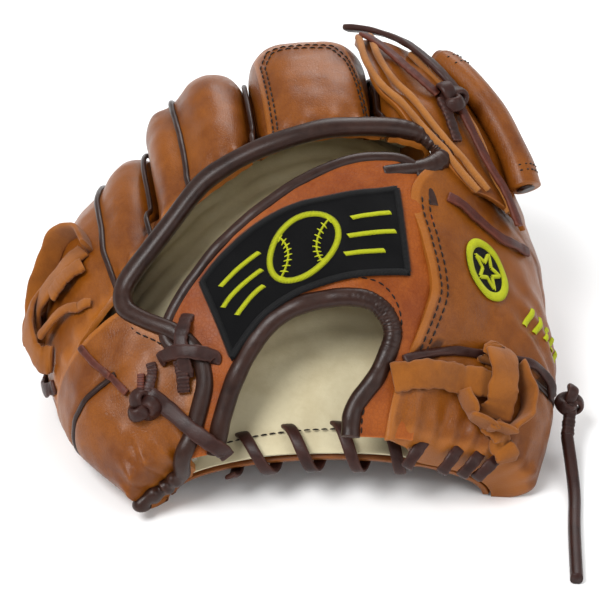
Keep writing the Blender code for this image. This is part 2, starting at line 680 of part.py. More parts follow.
side_shape = build_palm()
finger_shapes = build_fingers()
thumb_shape = build_thumb()
build_web()
build_side_laces(side_shape, strap_point)
build_pinky_thong(finger_shapes["pinky"])
build_thumb_laces(thumb_shape)
build_web_laces(finger_shapes)
whip_lace("heel_lace", (0.29, 0.62), 4, ("palm_shell", "palm_liner"))
offset = stand_on_floor()
build_lace_tail()
hang_on_joints(offset)
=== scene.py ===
# %% [markdown]
# # A leather fielding glove
# A baseball glove is sewn from flat hides and then formed over a hot metal hand, so it is
# modelled the same way here: each piece is drawn in flat pattern coordinates and a form
# function bends it into the cupped glove. Everything is in metres, Z up, the heel faces -Y.

# %% Frame and helpers
import math

import bmesh
import bpy
import numpy as np
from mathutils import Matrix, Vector


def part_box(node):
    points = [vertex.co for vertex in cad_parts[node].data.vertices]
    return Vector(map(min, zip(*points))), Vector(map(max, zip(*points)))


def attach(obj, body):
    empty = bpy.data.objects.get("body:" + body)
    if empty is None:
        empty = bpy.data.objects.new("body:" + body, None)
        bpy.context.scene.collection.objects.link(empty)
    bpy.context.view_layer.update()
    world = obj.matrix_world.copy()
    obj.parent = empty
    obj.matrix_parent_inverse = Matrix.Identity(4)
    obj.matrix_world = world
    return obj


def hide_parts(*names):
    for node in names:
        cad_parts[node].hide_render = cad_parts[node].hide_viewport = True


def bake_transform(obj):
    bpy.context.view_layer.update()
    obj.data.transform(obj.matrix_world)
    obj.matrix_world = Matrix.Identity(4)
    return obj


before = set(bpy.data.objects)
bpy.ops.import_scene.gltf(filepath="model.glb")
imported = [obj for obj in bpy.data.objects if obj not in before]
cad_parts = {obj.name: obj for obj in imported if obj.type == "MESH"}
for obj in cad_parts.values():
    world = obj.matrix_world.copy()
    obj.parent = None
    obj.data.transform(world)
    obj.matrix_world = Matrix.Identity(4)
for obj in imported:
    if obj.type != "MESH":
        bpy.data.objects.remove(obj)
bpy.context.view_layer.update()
MM = 0.001
rng = np.random.default_rng(7)

# %% [markdown]
# ## The form
# These are the glove form's guide lines: its little-finger edge, thumb edge and middle.
# They are the same as in the part, so that a piece laid at the same pattern place lands
# where the solid is. `back` is the height of the glove's back over its palm side.

# %% Form
FORM_WIDTH, FORM_LENGTH, FORM_DOME = 175 * MM, 194 * MM, 80 * MM
BACK_HEIGHT = 40 * MM
LEATHER = 2.6 * MM
LINING = 1.5 * MM
GAP = 0.35 * MM
SHELL_BASE = LEATHER + 5 * GAP
THUMB_SPLIT = 0.655
KNUCKLE_LINE = [0.34, 0.34, 0.40, 0.46, 0.50, 0.52, 0.53]
LITTLE_EDGE = [(-0.30, 0.03, 0.037), (-0.43, 0.12, 0.06), (-0.50, 0.30, 0.09),
               (-0.50, 0.52, 0.09), (-0.42, 0.72, 0.10)]
THUMB_EDGE = [(0.44, 0.03, 0.03), (0.48, 0.18, 0.055), (0.50, 0.37, 0.075),
              (0.49, 0.58, 0.075), (0.42, 0.75, 0.09)]
MIDDLE_LINE = [(0.08, 0.02, 0.30), (0.07, 0.29, 0.71), (0.045, 0.58, 1.06),
               (0.02, 0.84, 1.09), (0.01, 1.02, 0.17)]
BACK_ACROSS = [0.60, 0.78, 0.84, 0.96, 1.04, 0.99, 0.82, 0.68, 0.56]
BACK_ALONG = [0.62, 1.0, 1.0, 0.95, 0.70]
HEEL_STUFFING = 18 * MM
STUFFED_ACROSS = [0.90, 0.55, 0.05, 0.0, 0.0, 0.0, 0.03, 0.50, 1.00]
STUFFED_ALONG = [1.0, 0.55, 0.15, 0.0, 0.0]
GUIDE_SCALE = np.array([FORM_WIDTH, FORM_LENGTH, FORM_DOME])


def spline(points, where):
    """Smooth curve through evenly spaced points; where is 0 to 1 along it."""
    points = np.array(points, float)
    if points.ndim == 1:
        points = points[:, None]
    last = len(points) - 1
    place = np.asarray(where, float) * last
    i = np.clip(np.floor(place).astype(int), 0, last - 1)
    f = (place - i)[..., None]
    before = np.where((i > 0)[..., None], points[np.maximum(i - 1, 0)], 2 * points[0] - points[1])
    after = np.where((i < last - 1)[..., None], points[np.minimum(i + 2, last)],
                     2 * points[last] - points[last - 1])
    start, end = points[i], points[i + 1]
    slope_in, slope_out = (end - before) / 2, (after - start) / 2
    return ((2 * f**3 - 3 * f**2 + 1) * start + (f**3 - 2 * f**2 + f) * slope_in
            + (3 * f**2 - 2 * f**3) * end + (f**3 - f**2) * slope_out)


def palm_side(across, along):
    """The palm side before it is placed: an arch between the two edges, through the middle."""
    across, along = np.broadcast_arrays(np.asarray(across, float), np.asarray(along, float))
    left, right, middle = (spline(line, along) * GUIDE_SCALE
                           for line in (LITTLE_EDGE, THUMB_EDGE, MIDDLE_LINE))
    swing = -np.cos(np.pi * across)[..., None]
    rise = np.sin(np.pi * np.clip(across, 0, 1))[..., None]
    return left * (1 - swing) / 2 + right * (1 + swing) / 2 + rise * (middle - (left + right) / 2)


def surface_normal(across, along):
    """Which way the back of the glove lies from a place on the palm side."""
    step = 2e-3
    inside = np.clip(across, 0.01, 0.99)
    over = palm_side(inside + step, along) - palm_side(inside - step, along)
    forth = palm_side(inside, along + step) - palm_side(inside, along - step)
    normal = np.cross(over, forth)
    return normal / np.linalg.norm(normal, axis=-1, keepdims=True)


def unplaced(across, along, height):
    across, along, height = np.broadcast_arrays(*(np.asarray(v, float)
                                                  for v in (across, along, height)))
    return palm_side(across, along) + height[..., None] * surface_normal(across, along)


# The care label lies flat at a known pattern place, so its box tells where the form stands.
LABEL_PLACE = (np.array([0.44, 0.50, 0.44, 0.50]), np.array([0.27, 0.27, 0.33, 0.33]))
label_height = LEATHER + GAP + LINING + GAP
label_low = unplaced(*LABEL_PLACE, label_height)
SHIFT = np.array(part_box("care_label")[0]) - label_low.min(axis=0)
print("form stands at", np.round(SHIFT * 1000, 2), "mm")


def form(across, along, height):
    """The point at a pattern place, at a height over the palm side."""
    return unplaced(across, along, height) + SHIFT


def back(across, along):
    """Height of the back over the palm side, with the stuffing at both heel corners."""
    across, along = np.broadcast_arrays(np.asarray(across, float), np.asarray(along, float))
    across, along = np.clip(across, 0, 1), np.clip(along, 0, 1)
    plain = spline(BACK_ACROSS, across)[..., 0] * spline(BACK_ALONG, along)[..., 0]
    stuffed = spline(STUFFED_ACROSS, across)[..., 0] * spline(STUFFED_ALONG, along)[..., 0]
    return BACK_HEIGHT * plain + HEEL_STUFFING * stuffed


def knuckle(across):
    """Where along the pattern the fingers start to fold."""
    return spline(KNUCKLE_LINE, np.clip(np.asarray(across, float) / THUMB_SPLIT, 0, 1))[..., 0]


def smooth(low, high, value):
    """An eased step from 0 at low to 1 at high."""
    share = np.clip((np.asarray(value, float) - low) / (high - low), 0, 1)
    return share * share * (3 - 2 * share)

# %% [markdown]
# ## Camera and light
# The glove is seen from the wrist side, looking down a little, through a long lens so that
# the fingers don't shrink away. Three big soft lamps, a pale floor and a white world give
# catalogue light: a key from the left, a weak fill from the right, a rim from behind.

# %% Camera, lights and floor
CAMERA_TILT = math.radians(36)
CAMERA_AWAY = 1.0
VIEW_WIDTH = 0.264             # metres of subject across the view
SENSOR = 36                    # mm
AIM = Vector(SHIFT + (0.0, 0.090, 0.0434))


def add_camera():
    """A long lens whose view is VIEW_WIDTH wide at the glove."""
    camera = bpy.data.cameras.new("camera")
    camera.sensor_width = SENSOR
    camera.lens = SENSOR * CAMERA_AWAY / VIEW_WIDTH
    stand = bpy.data.objects.new("camera", camera)
    bpy.context.collection.objects.link(stand)
    ahead = Vector((0, math.cos(CAMERA_TILT), -math.sin(CAMERA_TILT)))
    stand.location = AIM - ahead * CAMERA_AWAY
    stand.rotation_euler = ahead.to_track_quat("-Z", "Y").to_euler()
    bpy.context.scene.camera = stand


def add_lamp(name, place, size, power):
    lamp = bpy.data.lights.new(name, "AREA")
    lamp.shape = "DISK"
    lamp.size = size
    lamp.energy = power
    holder = bpy.data.objects.new(name, lamp)
    bpy.context.collection.objects.link(holder)
    holder.location = place
    holder.rotation_euler = (AIM - Vector(place)).to_track_quat("-Z", "Y").to_euler()


def add_floor():
    bpy.ops.mesh.primitive_plane_add(size=8)
    floor = bpy.context.object
    floor.name = "floor"
    paper = bpy.data.materials.new("studio_paper")
    paper.use_nodes = True
    shader = paper.node_tree.nodes["Principled BSDF"]
    shader.inputs["Base Color"].default_value = (0.93, 0.93, 0.93, 1)
    shader.inputs["Roughness"].default_value = 0.9
    shader.inputs["Specular IOR Level"].default_value = 0.1
    floor.data.materials.append(paper)


add_camera()
add_lamp("key", (-0.7, -0.7, 1.5), 0.8, 26)
add_lamp("fill", (1.2, -0.9, 1.0), 1.2, 7)
add_lamp("rim", (0.3, 1.3, 1.2), 1.0, 14)
add_floor()
world = bpy.data.worlds.new("studio")
world.use_nodes = True
world.node_tree.nodes["Background"].inputs["Color"].default_value = (1, 1, 1, 1)
world.node_tree.nodes["Background"].inputs["Strength"].default_value = 0.55
bpy.context.scene.world = world
bpy.context.scene.view_settings.view_transform = "Standard"

# %% [markdown]
# ## Shader parts that leather, suede and cloth share
# Leather grain is two scales of Voronoi cells under a soft noise. Mottling shifts the colour
# where oil has soaked in unevenly. Both are built once as node groups and placed in every
# material that needs them, with their own sizes.

# %% Node groups


def new_group(name, inputs, outputs):
    """An empty node group with its sockets, and its two end nodes."""
    group = bpy.data.node_groups.new(name, "ShaderNodeTree")
    for title, kind, value in inputs:
        socket = group.interface.new_socket(title, in_out="INPUT", socket_type=kind)
        socket.default_value = value
    for title, kind in outputs:
        group.interface.new_socket(title, in_out="OUTPUT", socket_type=kind)
    start = group.nodes.new("NodeGroupInput")
    end = group.nodes.new("NodeGroupOutput")
    return group, start, end


def add(tree, kind, **values):
    """A node with its properties and input sockets set by name."""
    node = tree.nodes.new("ShaderNode" + kind)
    for title, value in values.items():
        if title in node.bl_rna.properties:
            setattr(node, title, value)
        else:
            node.inputs[title.replace("_", " ")].default_value = value
    return node


def math_node(tree, operation, first, second=None):
    """A maths node's result; each value is a number or another node's output."""
    node = tree.nodes.new("ShaderNodeMath")
    node.operation = operation
    for slot, value in enumerate((first, second)):
        if value is None:
            continue
        if hasattr(value, "is_output"):
            tree.links.new(value, node.inputs[slot])
        else:
            node.inputs[slot].default_value = value
    return node.outputs[0]


def mix_colour(tree, share, first, second):
    """Two colours mixed by share; each is a value or another node's output."""
    node = tree.nodes.new("ShaderNodeMix")
    node.data_type = "RGBA"
    for title, value in (("Factor", share), ("A", first), ("B", second)):
        socket = next(s for s in node.inputs if s.name == title and s.enabled)
        if hasattr(value, "is_output"):
            tree.links.new(value, socket)
        else:
            socket.default_value = value
    return next(s for s in node.outputs if s.enabled)


def leather_grain_group():
    """Pebbled grain and fine creases: a height and a mask of the pits."""
    group, start, end = new_group("leather_grain", [("Vector", "NodeSocketVector", (0, 0, 0)),
                                  ("Cells", "NodeSocketFloat", 900.0)],
                                  [("Height", "NodeSocketFloat"), ("Pits", "NodeSocketFloat")])
    warp = add(group, "TexNoise", Scale=160.0, Detail=3.0)
    group.links.new(start.outputs["Vector"], warp.inputs["Vector"])
    bend = add(group, "VectorMath", operation="SCALE", Scale=0.0016)
    group.links.new(warp.outputs["Color"], bend.inputs[0])
    place = add(group, "VectorMath", operation="ADD")
    group.links.new(start.outputs["Vector"], place.inputs[0])
    group.links.new(bend.outputs[0], place.inputs[1])
    cells = add(group, "TexVoronoi", feature="DISTANCE_TO_EDGE")
    group.links.new(place.outputs[0], cells.inputs["Vector"])
    group.links.new(start.outputs["Cells"], cells.inputs["Scale"])
    edge = add(group, "MapRange", interpolation_type="SMOOTHSTEP", From_Max=0.16)
    group.links.new(cells.outputs["Distance"], edge.inputs["Value"])
    broad = add(group, "TexNoise", Scale=240.0, Detail=5.0, Roughness=0.6)
    group.links.new(start.outputs["Vector"], broad.inputs["Vector"])
    height = math_node(group, "MULTIPLY_ADD", edge.outputs[0], 0.45)
    group.links.new(broad.outputs["Fac"], height.node.inputs[2])
    group.links.new(height, end.inputs["Height"])
    group.links.new(math_node(group, "SUBTRACT", 1.0, edge.outputs[0]), end.inputs["Pits"])
    return group


def mottle_group():
    """Slow colour drift: patches where oil and hands have darkened the hide."""
    group, start, end = new_group("mottle", [("Vector", "NodeSocketVector", (0, 0, 0)),
                                  ("Size", "NodeSocketFloat", 30.0)],
                                  [("Dark", "NodeSocketFloat"), ("Streak", "NodeSocketFloat")])
    broad = add(group, "TexNoise", Detail=4.0, Roughness=0.55)
    group.links.new(start.outputs["Vector"], broad.inputs["Vector"])
    group.links.new(start.outputs["Size"], broad.inputs["Scale"])
    dark = add(group, "MapRange", interpolation_type="SMOOTHSTEP", From_Min=0.38, From_Max=0.68)
    group.links.new(broad.outputs["Fac"], dark.inputs["Value"])
    fine = add(group, "TexNoise", Scale=210.0, Detail=6.0, Roughness=0.7, Distortion=0.6)
    group.links.new(start.outputs["Vector"], fine.inputs["Vector"])
    streak = add(group, "MapRange", From_Min=0.35, From_Max=0.7)
    group.links.new(fine.outputs["Fac"], streak.inputs["Value"])
    group.links.new(dark.outputs[0], end.inputs["Dark"])
    group.links.new(streak.outputs[0], end.inputs["Streak"])
    return group


GRAIN = leather_grain_group()
MOTTLE = mottle_group()


def place_group(tree, group, vector, **values):
    """One use of a shared node group, with its own sizes."""
    node = tree.nodes.new("ShaderNodeGroup")
    node.node_tree = group
    tree.links.new(vector, node.inputs["Vector"])
    for title, value in values.items():
        node.inputs[title].default_value = value
    return node

# %% [markdown]
# ## Finishes
# One maker builds every leather: base colour, a darker oiled tone, a lighter rubbed tone on
# raised edges (from the pointiness of the mesh, kept in a vertex colour named `wear`),
# painted shade that darkens the hollows (from the same curvature), grain bump and a waxy coat.
# Suede and felt have no coat and a fuzzy sheen instead, but the same painted shade.

# %% Leather and cloth


def rgb(red, green, blue):
    """A colour given in display values, as linear light."""
    return tuple((c / 255) ** 2.2 for c in (red, green, blue)) + (1.0,)


def base_material(name, roughness, coat=0.0, sheen=0.0, specular=0.22):
    """A plain shader for the makers below to add to. Worn hide reflects little."""
    material = bpy.data.materials.new(name)
    material.use_nodes = True
    tree = material.node_tree
    shader = tree.nodes["Principled BSDF"]
    shader.inputs["Roughness"].default_value = roughness
    shader.inputs["Coat Weight"].default_value = coat
    shader.inputs["Coat Roughness"].default_value = 0.28
    shader.inputs["Sheen Weight"].default_value = sheen
    shader.inputs["Sheen Roughness"].default_value = 0.6
    shader.inputs["Specular IOR Level"].default_value = specular
    return material, tree, shader


def leather(name, colour, oiled, rubbed, roughness=0.42, coat=0.12, cells=900.0, bump=0.25,
            drift=30.0):
    """Hide: mottled colour, oiled pits, rubbed edges, painted shade in the hollows, grain bump and
    coat.
    """
    material, tree, shader = base_material(name, roughness, coat)
    place = add(tree, "TexCoord").outputs["Object"]
    mottle = place_group(tree, MOTTLE, place, Size=drift)
    grain = place_group(tree, GRAIN, place, Cells=cells)
    wear = add(tree, "Attribute", attribute_name="wear")
    tone = mix_colour(tree, math_node(tree, "MULTIPLY", mottle.outputs["Dark"], 0.70),
                      colour, oiled)
    tone = mix_colour(tree, math_node(tree, "MULTIPLY", mottle.outputs["Streak"], 0.22),
                      tone, rubbed)
    tone = mix_colour(tree, math_node(tree, "MULTIPLY", grain.outputs["Pits"], 0.22),
                      tone, oiled)
    tone = mix_colour(tree, wear.outputs["Fac"], tone, rubbed)
    # Painted shade: hollows are darkened towards a deep oiled tone.
    painted_shade = add(tree, "Attribute", attribute_name="painted_shade")
    tone = mix_colour(tree, painted_shade.outputs["Fac"], tone, tuple(c * 0.22 for c in oiled[:3]) + (1,))
    tree.links.new(tone, shader.inputs["Base Color"])
    rough = math_node(tree, "MULTIPLY_ADD", mottle.outputs["Streak"], 0.14)
    rough.node.inputs[2].default_value = roughness - 0.06
    tree.links.new(rough, shader.inputs["Roughness"])
    relief = add(tree, "Bump", Strength=bump, Distance=0.0006)
    tree.links.new(grain.outputs["Height"], relief.inputs["Height"])
    tree.links.new(relief.outputs[0], shader.inputs["Normal"])
    return material


def suede(name, colour, dark, bump=0.6, fibre=700.0, sheen=0.35):
    """Napped hide, felt or soft cloth: no coat, a fibre bump, a fuzzy sheen and painted shade in
    the hollows.
    """
    material, tree, shader = base_material(name, 0.9, sheen=sheen, specular=0.2)
    place = add(tree, "TexCoord").outputs["Object"]
    mottle = place_group(tree, MOTTLE, place, Size=70.0)
    nap = add(tree, "TexNoise", Scale=fibre, Detail=8.0, Roughness=0.75)
    tree.links.new(place, nap.inputs["Vector"])
    tone = mix_colour(tree, math_node(tree, "MULTIPLY", mottle.outputs["Dark"], 0.5), colour, dark)
    tone = mix_colour(tree, math_node(tree, "MULTIPLY", nap.outputs["Fac"], 0.45), tone, dark)
    # Painted shade: hollows are darkened towards a deep tone.
    painted_shade = add(tree, "Attribute", attribute_name="painted_shade")
    tone = mix_colour(tree, painted_shade.outputs["Fac"], tone, tuple(c * 0.2 for c in dark[:3]) + (1,))
    tree.links.new(tone, shader.inputs["Base Color"])
    relief = add(tree, "Bump", Strength=bump, Distance=0.0005)
    tree.links.new(nap.outputs["Fac"], relief.inputs["Height"])
    tree.links.new(relief.outputs[0], shader.inputs["Normal"])
    return material


TWILL_RIDGES = 1500.0           # across the piece's own UV


def twill(name, colour, light):
    """Woven patch cloth: fine diagonal ridges and lint in the piece's own UV."""
    material, tree, shader = base_material(name, 0.85, sheen=0.02, specular=0.12)
    place = add(tree, "TexCoord").outputs["UV"]
    ridges = add(tree, "TexWave", wave_type="BANDS", bands_direction="DIAGONAL",
                 Scale=TWILL_RIDGES, Distortion=1.5, Detail=2.0)
    tree.links.new(place, ridges.inputs["Vector"])
    lint = add(tree, "TexNoise", Scale=TWILL_RIDGES * 0.8, Detail=4.0)
    tree.links.new(place, lint.inputs["Vector"])
    tone = mix_colour(tree, math_node(tree, "MULTIPLY", ridges.outputs["Fac"], 0.5), colour, light)
    tree.links.new(tone, shader.inputs["Base Color"])
    relief = add(tree, "Bump", Strength=0.5, Distance=0.0004)
    tree.links.new(ridges.outputs["Fac"], relief.inputs["Height"])
    tree.links.new(relief.outputs[0], shader.inputs["Normal"])
    return material


def thread(name, colour, dark):
    """Sewing thread: two tones in fine noise along the twist."""
    material, tree, shader = base_material(name, 0.6, sheen=0.05, specular=0.2)
    place = add(tree, "TexCoord").outputs["Object"]
    twist = add(tree, "TexNoise", Scale=2600.0, Detail=2.0)
    tree.links.new(place, twist.inputs["Vector"])
    tree.links.new(mix_colour(tree, twist.outputs["Fac"], colour, dark),
                   shader.inputs["Base Color"])
    return material


HIDE = leather("oiled_hide", rgb(122, 68, 18), rgb(78, 36, 9), rgb(160, 96, 38),
               coat=0.10, roughness=0.38)
HIDE_DEEP = leather("worn_hide", rgb(110, 58, 20), rgb(74, 34, 11), rgb(150, 92, 44),
                    coat=0.06, roughness=0.44)
STRAP_HIDE = leather("strap_hide", rgb(138, 70, 18), rgb(100, 42, 10), rgb(172, 98, 42),
                     coat=0.02, roughness=0.50, cells=600.0)
BINDING = leather("binding_leather", rgb(45, 27, 21), rgb(26, 14, 11), rgb(84, 58, 48),
                  roughness=0.34, coat=0.10, cells=1400.0, bump=0.14)
LACE = leather("rawhide_lace", rgb(48, 26, 22), rgb(26, 13, 12), rgb(84, 54, 46),
               roughness=0.42, coat=0.06, cells=1200.0, bump=0.2, drift=90.0)
LACE_RED = leather("red_lace", rgb(74, 32, 24), rgb(42, 18, 15), rgb(112, 62, 46), cells=1200.0,
                   roughness=0.5, coat=0.04, drift=90.0)
THONG = suede("suede_thong", rgb(146, 86, 26), rgb(100, 54, 14), sheen=0.12)
RAW_EDGE = suede("raw_edge", rgb(164, 106, 50), rgb(112, 66, 28), bump=0.9, sheen=0.12)
LINING_HIDE = suede("cream_lining", rgb(206, 196, 164), rgb(172, 158, 124), bump=0.35,
                    fibre=420.0, sheen=0.10)
PATCH = twill("black_twill", rgb(9, 9, 10), rgb(24, 24, 27))
THREAD_DARK = thread("dark_thread", rgb(34, 22, 18), rgb(16, 11, 9))
THREAD_BLACK = thread("black_thread", rgb(20, 20, 22), rgb(9, 9, 10))
THREAD_YELLOW = thread("yellow_thread", rgb(190, 196, 26), rgb(138, 142, 10))
FELT = suede("felt", rgb(182, 174, 158), rgb(140, 132, 116), bump=0.8)
LABEL_CLOTH = suede("label_cloth", rgb(236, 236, 232), rgb(200, 200, 196), bump=0.2, sheen=0.1)
STAY = leather("stay_plastic", rgb(60, 60, 64), rgb(40, 40, 44), rgb(90, 90, 94), coat=0.0,
               cells=2000.0, bump=0.05)
print("finishes:", len(bpy.data.materials))

# %% [markdown]
# ## Sheets, sweeps and stitches
# Leather pieces are grids laid on the form, thickened by Solidify and softened by a small
# Bevel. Bindings, laces and thongs are sweeps: a rounded section carried along a route whose
# flat side faces the leather. Stitches are real short threads that dip into the hide.

# %% Mesh helpers
PUFF = 0.62                    # lower is squarer: how full a puffed section stands
EVEN = 1.45                    # draws grid rows towards the steep closing edges
WEAR_AND_SHADE_ROUNDS = 3                # passes that smooth the curvature before it is painted


def rounded(share, start, end):
    """Spread a 0 to 1 share from start to end, steep where it closes at -1 or 1."""
    angle = start + (end - start) * share
    even = np.where(np.abs(angle) < 0.5, 0.5 * np.abs(2 * angle) ** EVEN,
                    1 - 0.5 * np.abs(2 - 2 * np.abs(angle)) ** EVEN)
    angle = np.sign(angle) * even

    def swing(value):
        return np.sign(value) * np.abs(np.sin(value * np.pi / 2)) ** PUFF

    first, last = swing(np.asarray(start, float)), swing(np.asarray(end, float))
    return (swing(angle) - first) / (last - first), np.abs(np.cos(angle * np.pi / 2)) ** PUFF


def finish_piece(obj, material, rides, replaced=()):
    """Material, body and what the piece stands for. rides is a body; otherwise the piece is left
    unattached.
    """
    obj.data.materials.clear()
    obj.data.materials.append(material)
    for polygon in obj.data.polygons:
        polygon.use_smooth = True
    if isinstance(rides, str):
        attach(obj, rides)
    else:
        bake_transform(obj)
    if replaced:
        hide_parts(*replaced)
    return obj


def mesh_object(name, points, faces):
    mesh = bpy.data.meshes.new(name)
    mesh.from_pydata([tuple(p) for p in points], [], faces)
    mesh.update()
    obj = bpy.data.objects.new(name, mesh)
    bpy.context.collection.objects.link(obj)
    return obj


def apply_all(obj):
    """Turn a piece's modifiers into mesh."""
    bpy.context.view_layer.objects.active = obj
    for modifier in list(obj.modifiers):
        bpy.ops.object.modifier_apply(modifier=modifier.name)


def paint_wear_and_shade(obj, rub=1.0, shade_depth=1.0):
    """Rubbed raised edges, and painted shade that darkens the hollows, as two vertex values from
    curvature.
    """
    mesh = obj.data
    count = len(mesh.vertices)
    points = np.empty(count * 3)
    mesh.vertices.foreach_get("co", points)
    points = points.reshape(-1, 3)
    normals = np.empty(count * 3)
    mesh.vertices.foreach_get("normal", normals)
    normals = normals.reshape(-1, 3)
    edges = np.empty(len(mesh.edges) * 2, int)
    mesh.edges.foreach_get("vertices", edges)
    edges = edges.reshape(-1, 2)
    ahead = points[edges[:, 1]] - points[edges[:, 0]]
    length = np.linalg.norm(ahead, axis=1) + 1e-9
    bend = np.zeros(count)
    weight = np.zeros(count)
    for end, sign in ((0, -1), (1, 1)):
        np.add.at(bend, edges[:, end],
                  sign * np.sum(ahead * normals[edges[:, end]], axis=1) / length**2)
        np.add.at(weight, edges[:, end], 1.0)
    bend /= np.maximum(weight, 1)
    for _ in range(WEAR_AND_SHADE_ROUNDS):
        spread = np.zeros(count)
        np.add.at(spread, edges[:, 0], bend[edges[:, 1]])
        np.add.at(spread, edges[:, 1], bend[edges[:, 0]])
        bend = 0.5 * bend + 0.5 * spread / np.maximum(weight, 1)
    # The first value is real wear on raised edges; the second is painted shade, darkening concave
    # places as if little light reached them.
    for title, value in (("wear", smooth(60, 420, bend) * 0.55 * rub),
                         ("painted_shade", smooth(40, 320, -bend) * 0.75 * shade_depth)):
        layer = mesh.attributes.new(title, "FLOAT", "POINT")
        layer.data.foreach_set("value", value.astype(np.float32))


def sheet(name, place, cells, thickness, inward=True, soften=0.5 * MM):
    """A thick piece of hide from place(u, v), with softened edges."""
    columns, rows = cells
    u, v = np.meshgrid(np.linspace(0, 1, columns + 1), np.linspace(0, 1, rows + 1))
    points = place(u.ravel(), v.ravel())
    corner = np.arange((columns + 1) * (rows + 1)).reshape(rows + 1, columns + 1)
    faces = np.stack([corner[:-1, :-1], corner[:-1, 1:], corner[1:, 1:], corner[1:, :-1]], -1)
    obj = mesh_object(name, points, faces.reshape(-1, 4).tolist())
    coordinates = obj.data.uv_layers.new(name="UVMap")
    loops = np.empty(len(obj.data.loops), int)
    obj.data.loops.foreach_get("vertex_index", loops)
    coordinates.data.foreach_set("uv", np.c_[u.ravel()[loops], v.ravel()[loops]].ravel())
    wall = obj.modifiers.new("wall", "SOLIDIFY")
    wall.thickness = thickness
    wall.offset = -1 if inward else 1
    if soften:
        edge = obj.modifiers.new("edge", "BEVEL")
        edge.width = soften
        edge.segments = 2
        edge.limit_method = "ANGLE"
        edge.angle_limit = math.radians(50)
    apply_all(obj)
    return obj


def unit(vectors):
    return vectors / (np.linalg.norm(vectors, axis=-1, keepdims=True) + 1e-12)


def sweep(name, stops, normals, half_width, half_thick, steps=60, square=2.6, sides=14,
          closed=False, swell=None):
    """A rounded section carried along a route, flat side towards the normals.

    square is the section's fullness: 2 is an ellipse, more is boxier. swell widens and
    thins it along the route.
    """
    if closed:
        share = np.linspace(0, 1, steps, endpoint=False)
        stops, normals = np.vstack([stops, stops[:1]]), np.vstack([normals, normals[:1]])
    else:
        share = np.linspace(0, 1, steps + 1)
    route, up = spline(stops, share), unit(spline(normals, share))
    if closed:
        ahead = unit(np.roll(route, -1, axis=0) - np.roll(route, 1, axis=0))
    else:
        ahead = unit(np.gradient(route, axis=0))
    side = unit(np.cross(ahead, up))
    up = np.cross(side, ahead)
    angle = np.linspace(0, 2 * np.pi, sides, endpoint=False)
    power = 2.0 / square
    wide = np.sign(np.cos(angle)) * np.abs(np.cos(angle)) ** power
    thick = np.sign(np.sin(angle)) * np.abs(np.sin(angle)) ** power
    grow = np.ones((len(route), 1)) if swell is None else np.asarray(swell(share))[:, None]
    rings = (route[:, None] + side[:, None] * (grow * wide)[..., None] * half_width
             + up[:, None] * (grow * thick)[..., None] * half_thick)
    count = len(route)
    points = rings.reshape(-1, 3)
    ring = np.arange(count * sides).reshape(count, sides)
    following = np.roll(ring, -1, axis=1)
    if closed:
        a, b, c, d = ring, following, np.roll(following, -1, axis=0), np.roll(ring, -1, axis=0)
    else:
        a, b, c, d = ring[:-1], following[:-1], following[1:], ring[1:]
    faces = np.stack([a, b, c, d], -1).reshape(-1, 4).tolist()
    if not closed:
        faces.append(ring[0][::-1].tolist())
        faces.append(ring[-1].tolist())
    return mesh_object(name, points, faces)


def mirror_fix(obj):
    """Faces outwards, whichever way the section ran."""
    solid = bmesh.new()
    solid.from_mesh(obj.data)
    bmesh.ops.recalc_face_normals(solid, faces=solid.faces)
    solid.to_mesh(obj.data)
    solid.free()
    return obj


def lay(shape, stops, count):
    """Points and outward normals along stops (u, v, mm above) of a shape."""
    u, v, above = spline(stops, np.linspace(0, 1, count)).T
    step = 2e-3
    over = shape(np.clip(u + step, 0, 1), v) - shape(np.clip(u - step, 0, 1), v)
    forth = shape(u, np.clip(v + step, 0, 1)) - shape(u, np.clip(v - step, 0, 1))
    normals = unit(np.cross(over, forth))
    return shape(u, v) + normals * above[:, None] * MM, normals


def even_route(points, normals, spacing):
    """The same route with points a fixed distance apart."""
    reach = np.r_[0, np.cumsum(np.linalg.norm(np.diff(points, axis=0), axis=1))]
    marks = np.arange(spacing / 2, reach[-1], spacing)
    return (np.stack([np.interp(marks, reach, points[:, i]) for i in range(3)], -1),
            unit(np.stack([np.interp(marks, reach, normals[:, i]) for i in range(3)], -1)))


def threads(name, starts, ends, normals, radius=0.35 * MM, arch=0.35 * MM):
    """Many short threads in one mesh: each rises out of the hide and dips back in."""
    spans, sides = 4, 5
    points, faces = [], []
    for start, end, up in zip(starts, ends, normals):
        ahead = end - start
        side = np.cross(ahead, up)
        side = side / (np.linalg.norm(side) + 1e-12)
        first = len(points)
        for i in range(spans + 1):
            share = i / spans
            centre = start + ahead * share + up * (math.sin(math.pi * share) * arch - 0.1 * MM)
            size = radius * (0.55 + 0.45 * math.sin(math.pi * share))
            for k in range(sides):
                turn = 2 * math.pi * k / sides
                points.append(centre + (side * math.cos(turn) + up * math.sin(turn)) * size)
        for i in range(spans):
            for k in range(sides):
                a = first + i * sides + k
                b = first + i * sides + (k + 1) % sides
                faces.append((a, b, b + sides, a + sides))
        faces.append(tuple(range(first + sides - 1, first - 1, -1)))
        faces.append(tuple(first + spans * sides + k for k in range(sides)))
    return mirror_fix(mesh_object(name, points, faces))


def stitch_line(name, points, normals, length=2.6 * MM, gap=1.0 * MM, radius=0.38 * MM):
    """Running stitches of one length and gap along a route."""
    centres, up = even_route(points, normals, length + gap)
    ahead = unit(np.gradient(centres, axis=0))
    return threads(name, centres - ahead * length / 2, centres + ahead * length / 2, up, radius)


def pattern_lay(shape, stops, count):
    """Points and normals along stops (across, along, mm above) of a pattern surface."""
    across, along, above = spline(stops, np.linspace(0, 1, count)).T
    step = 1e-3
    over = shape(across + step, along) - shape(across - step, along)
    forth = shape(across, along + step) - shape(across, along - step)
    normals = unit(np.cross(over, forth))
    return shape(across, along) + normals * above[:, None] * MM, normals
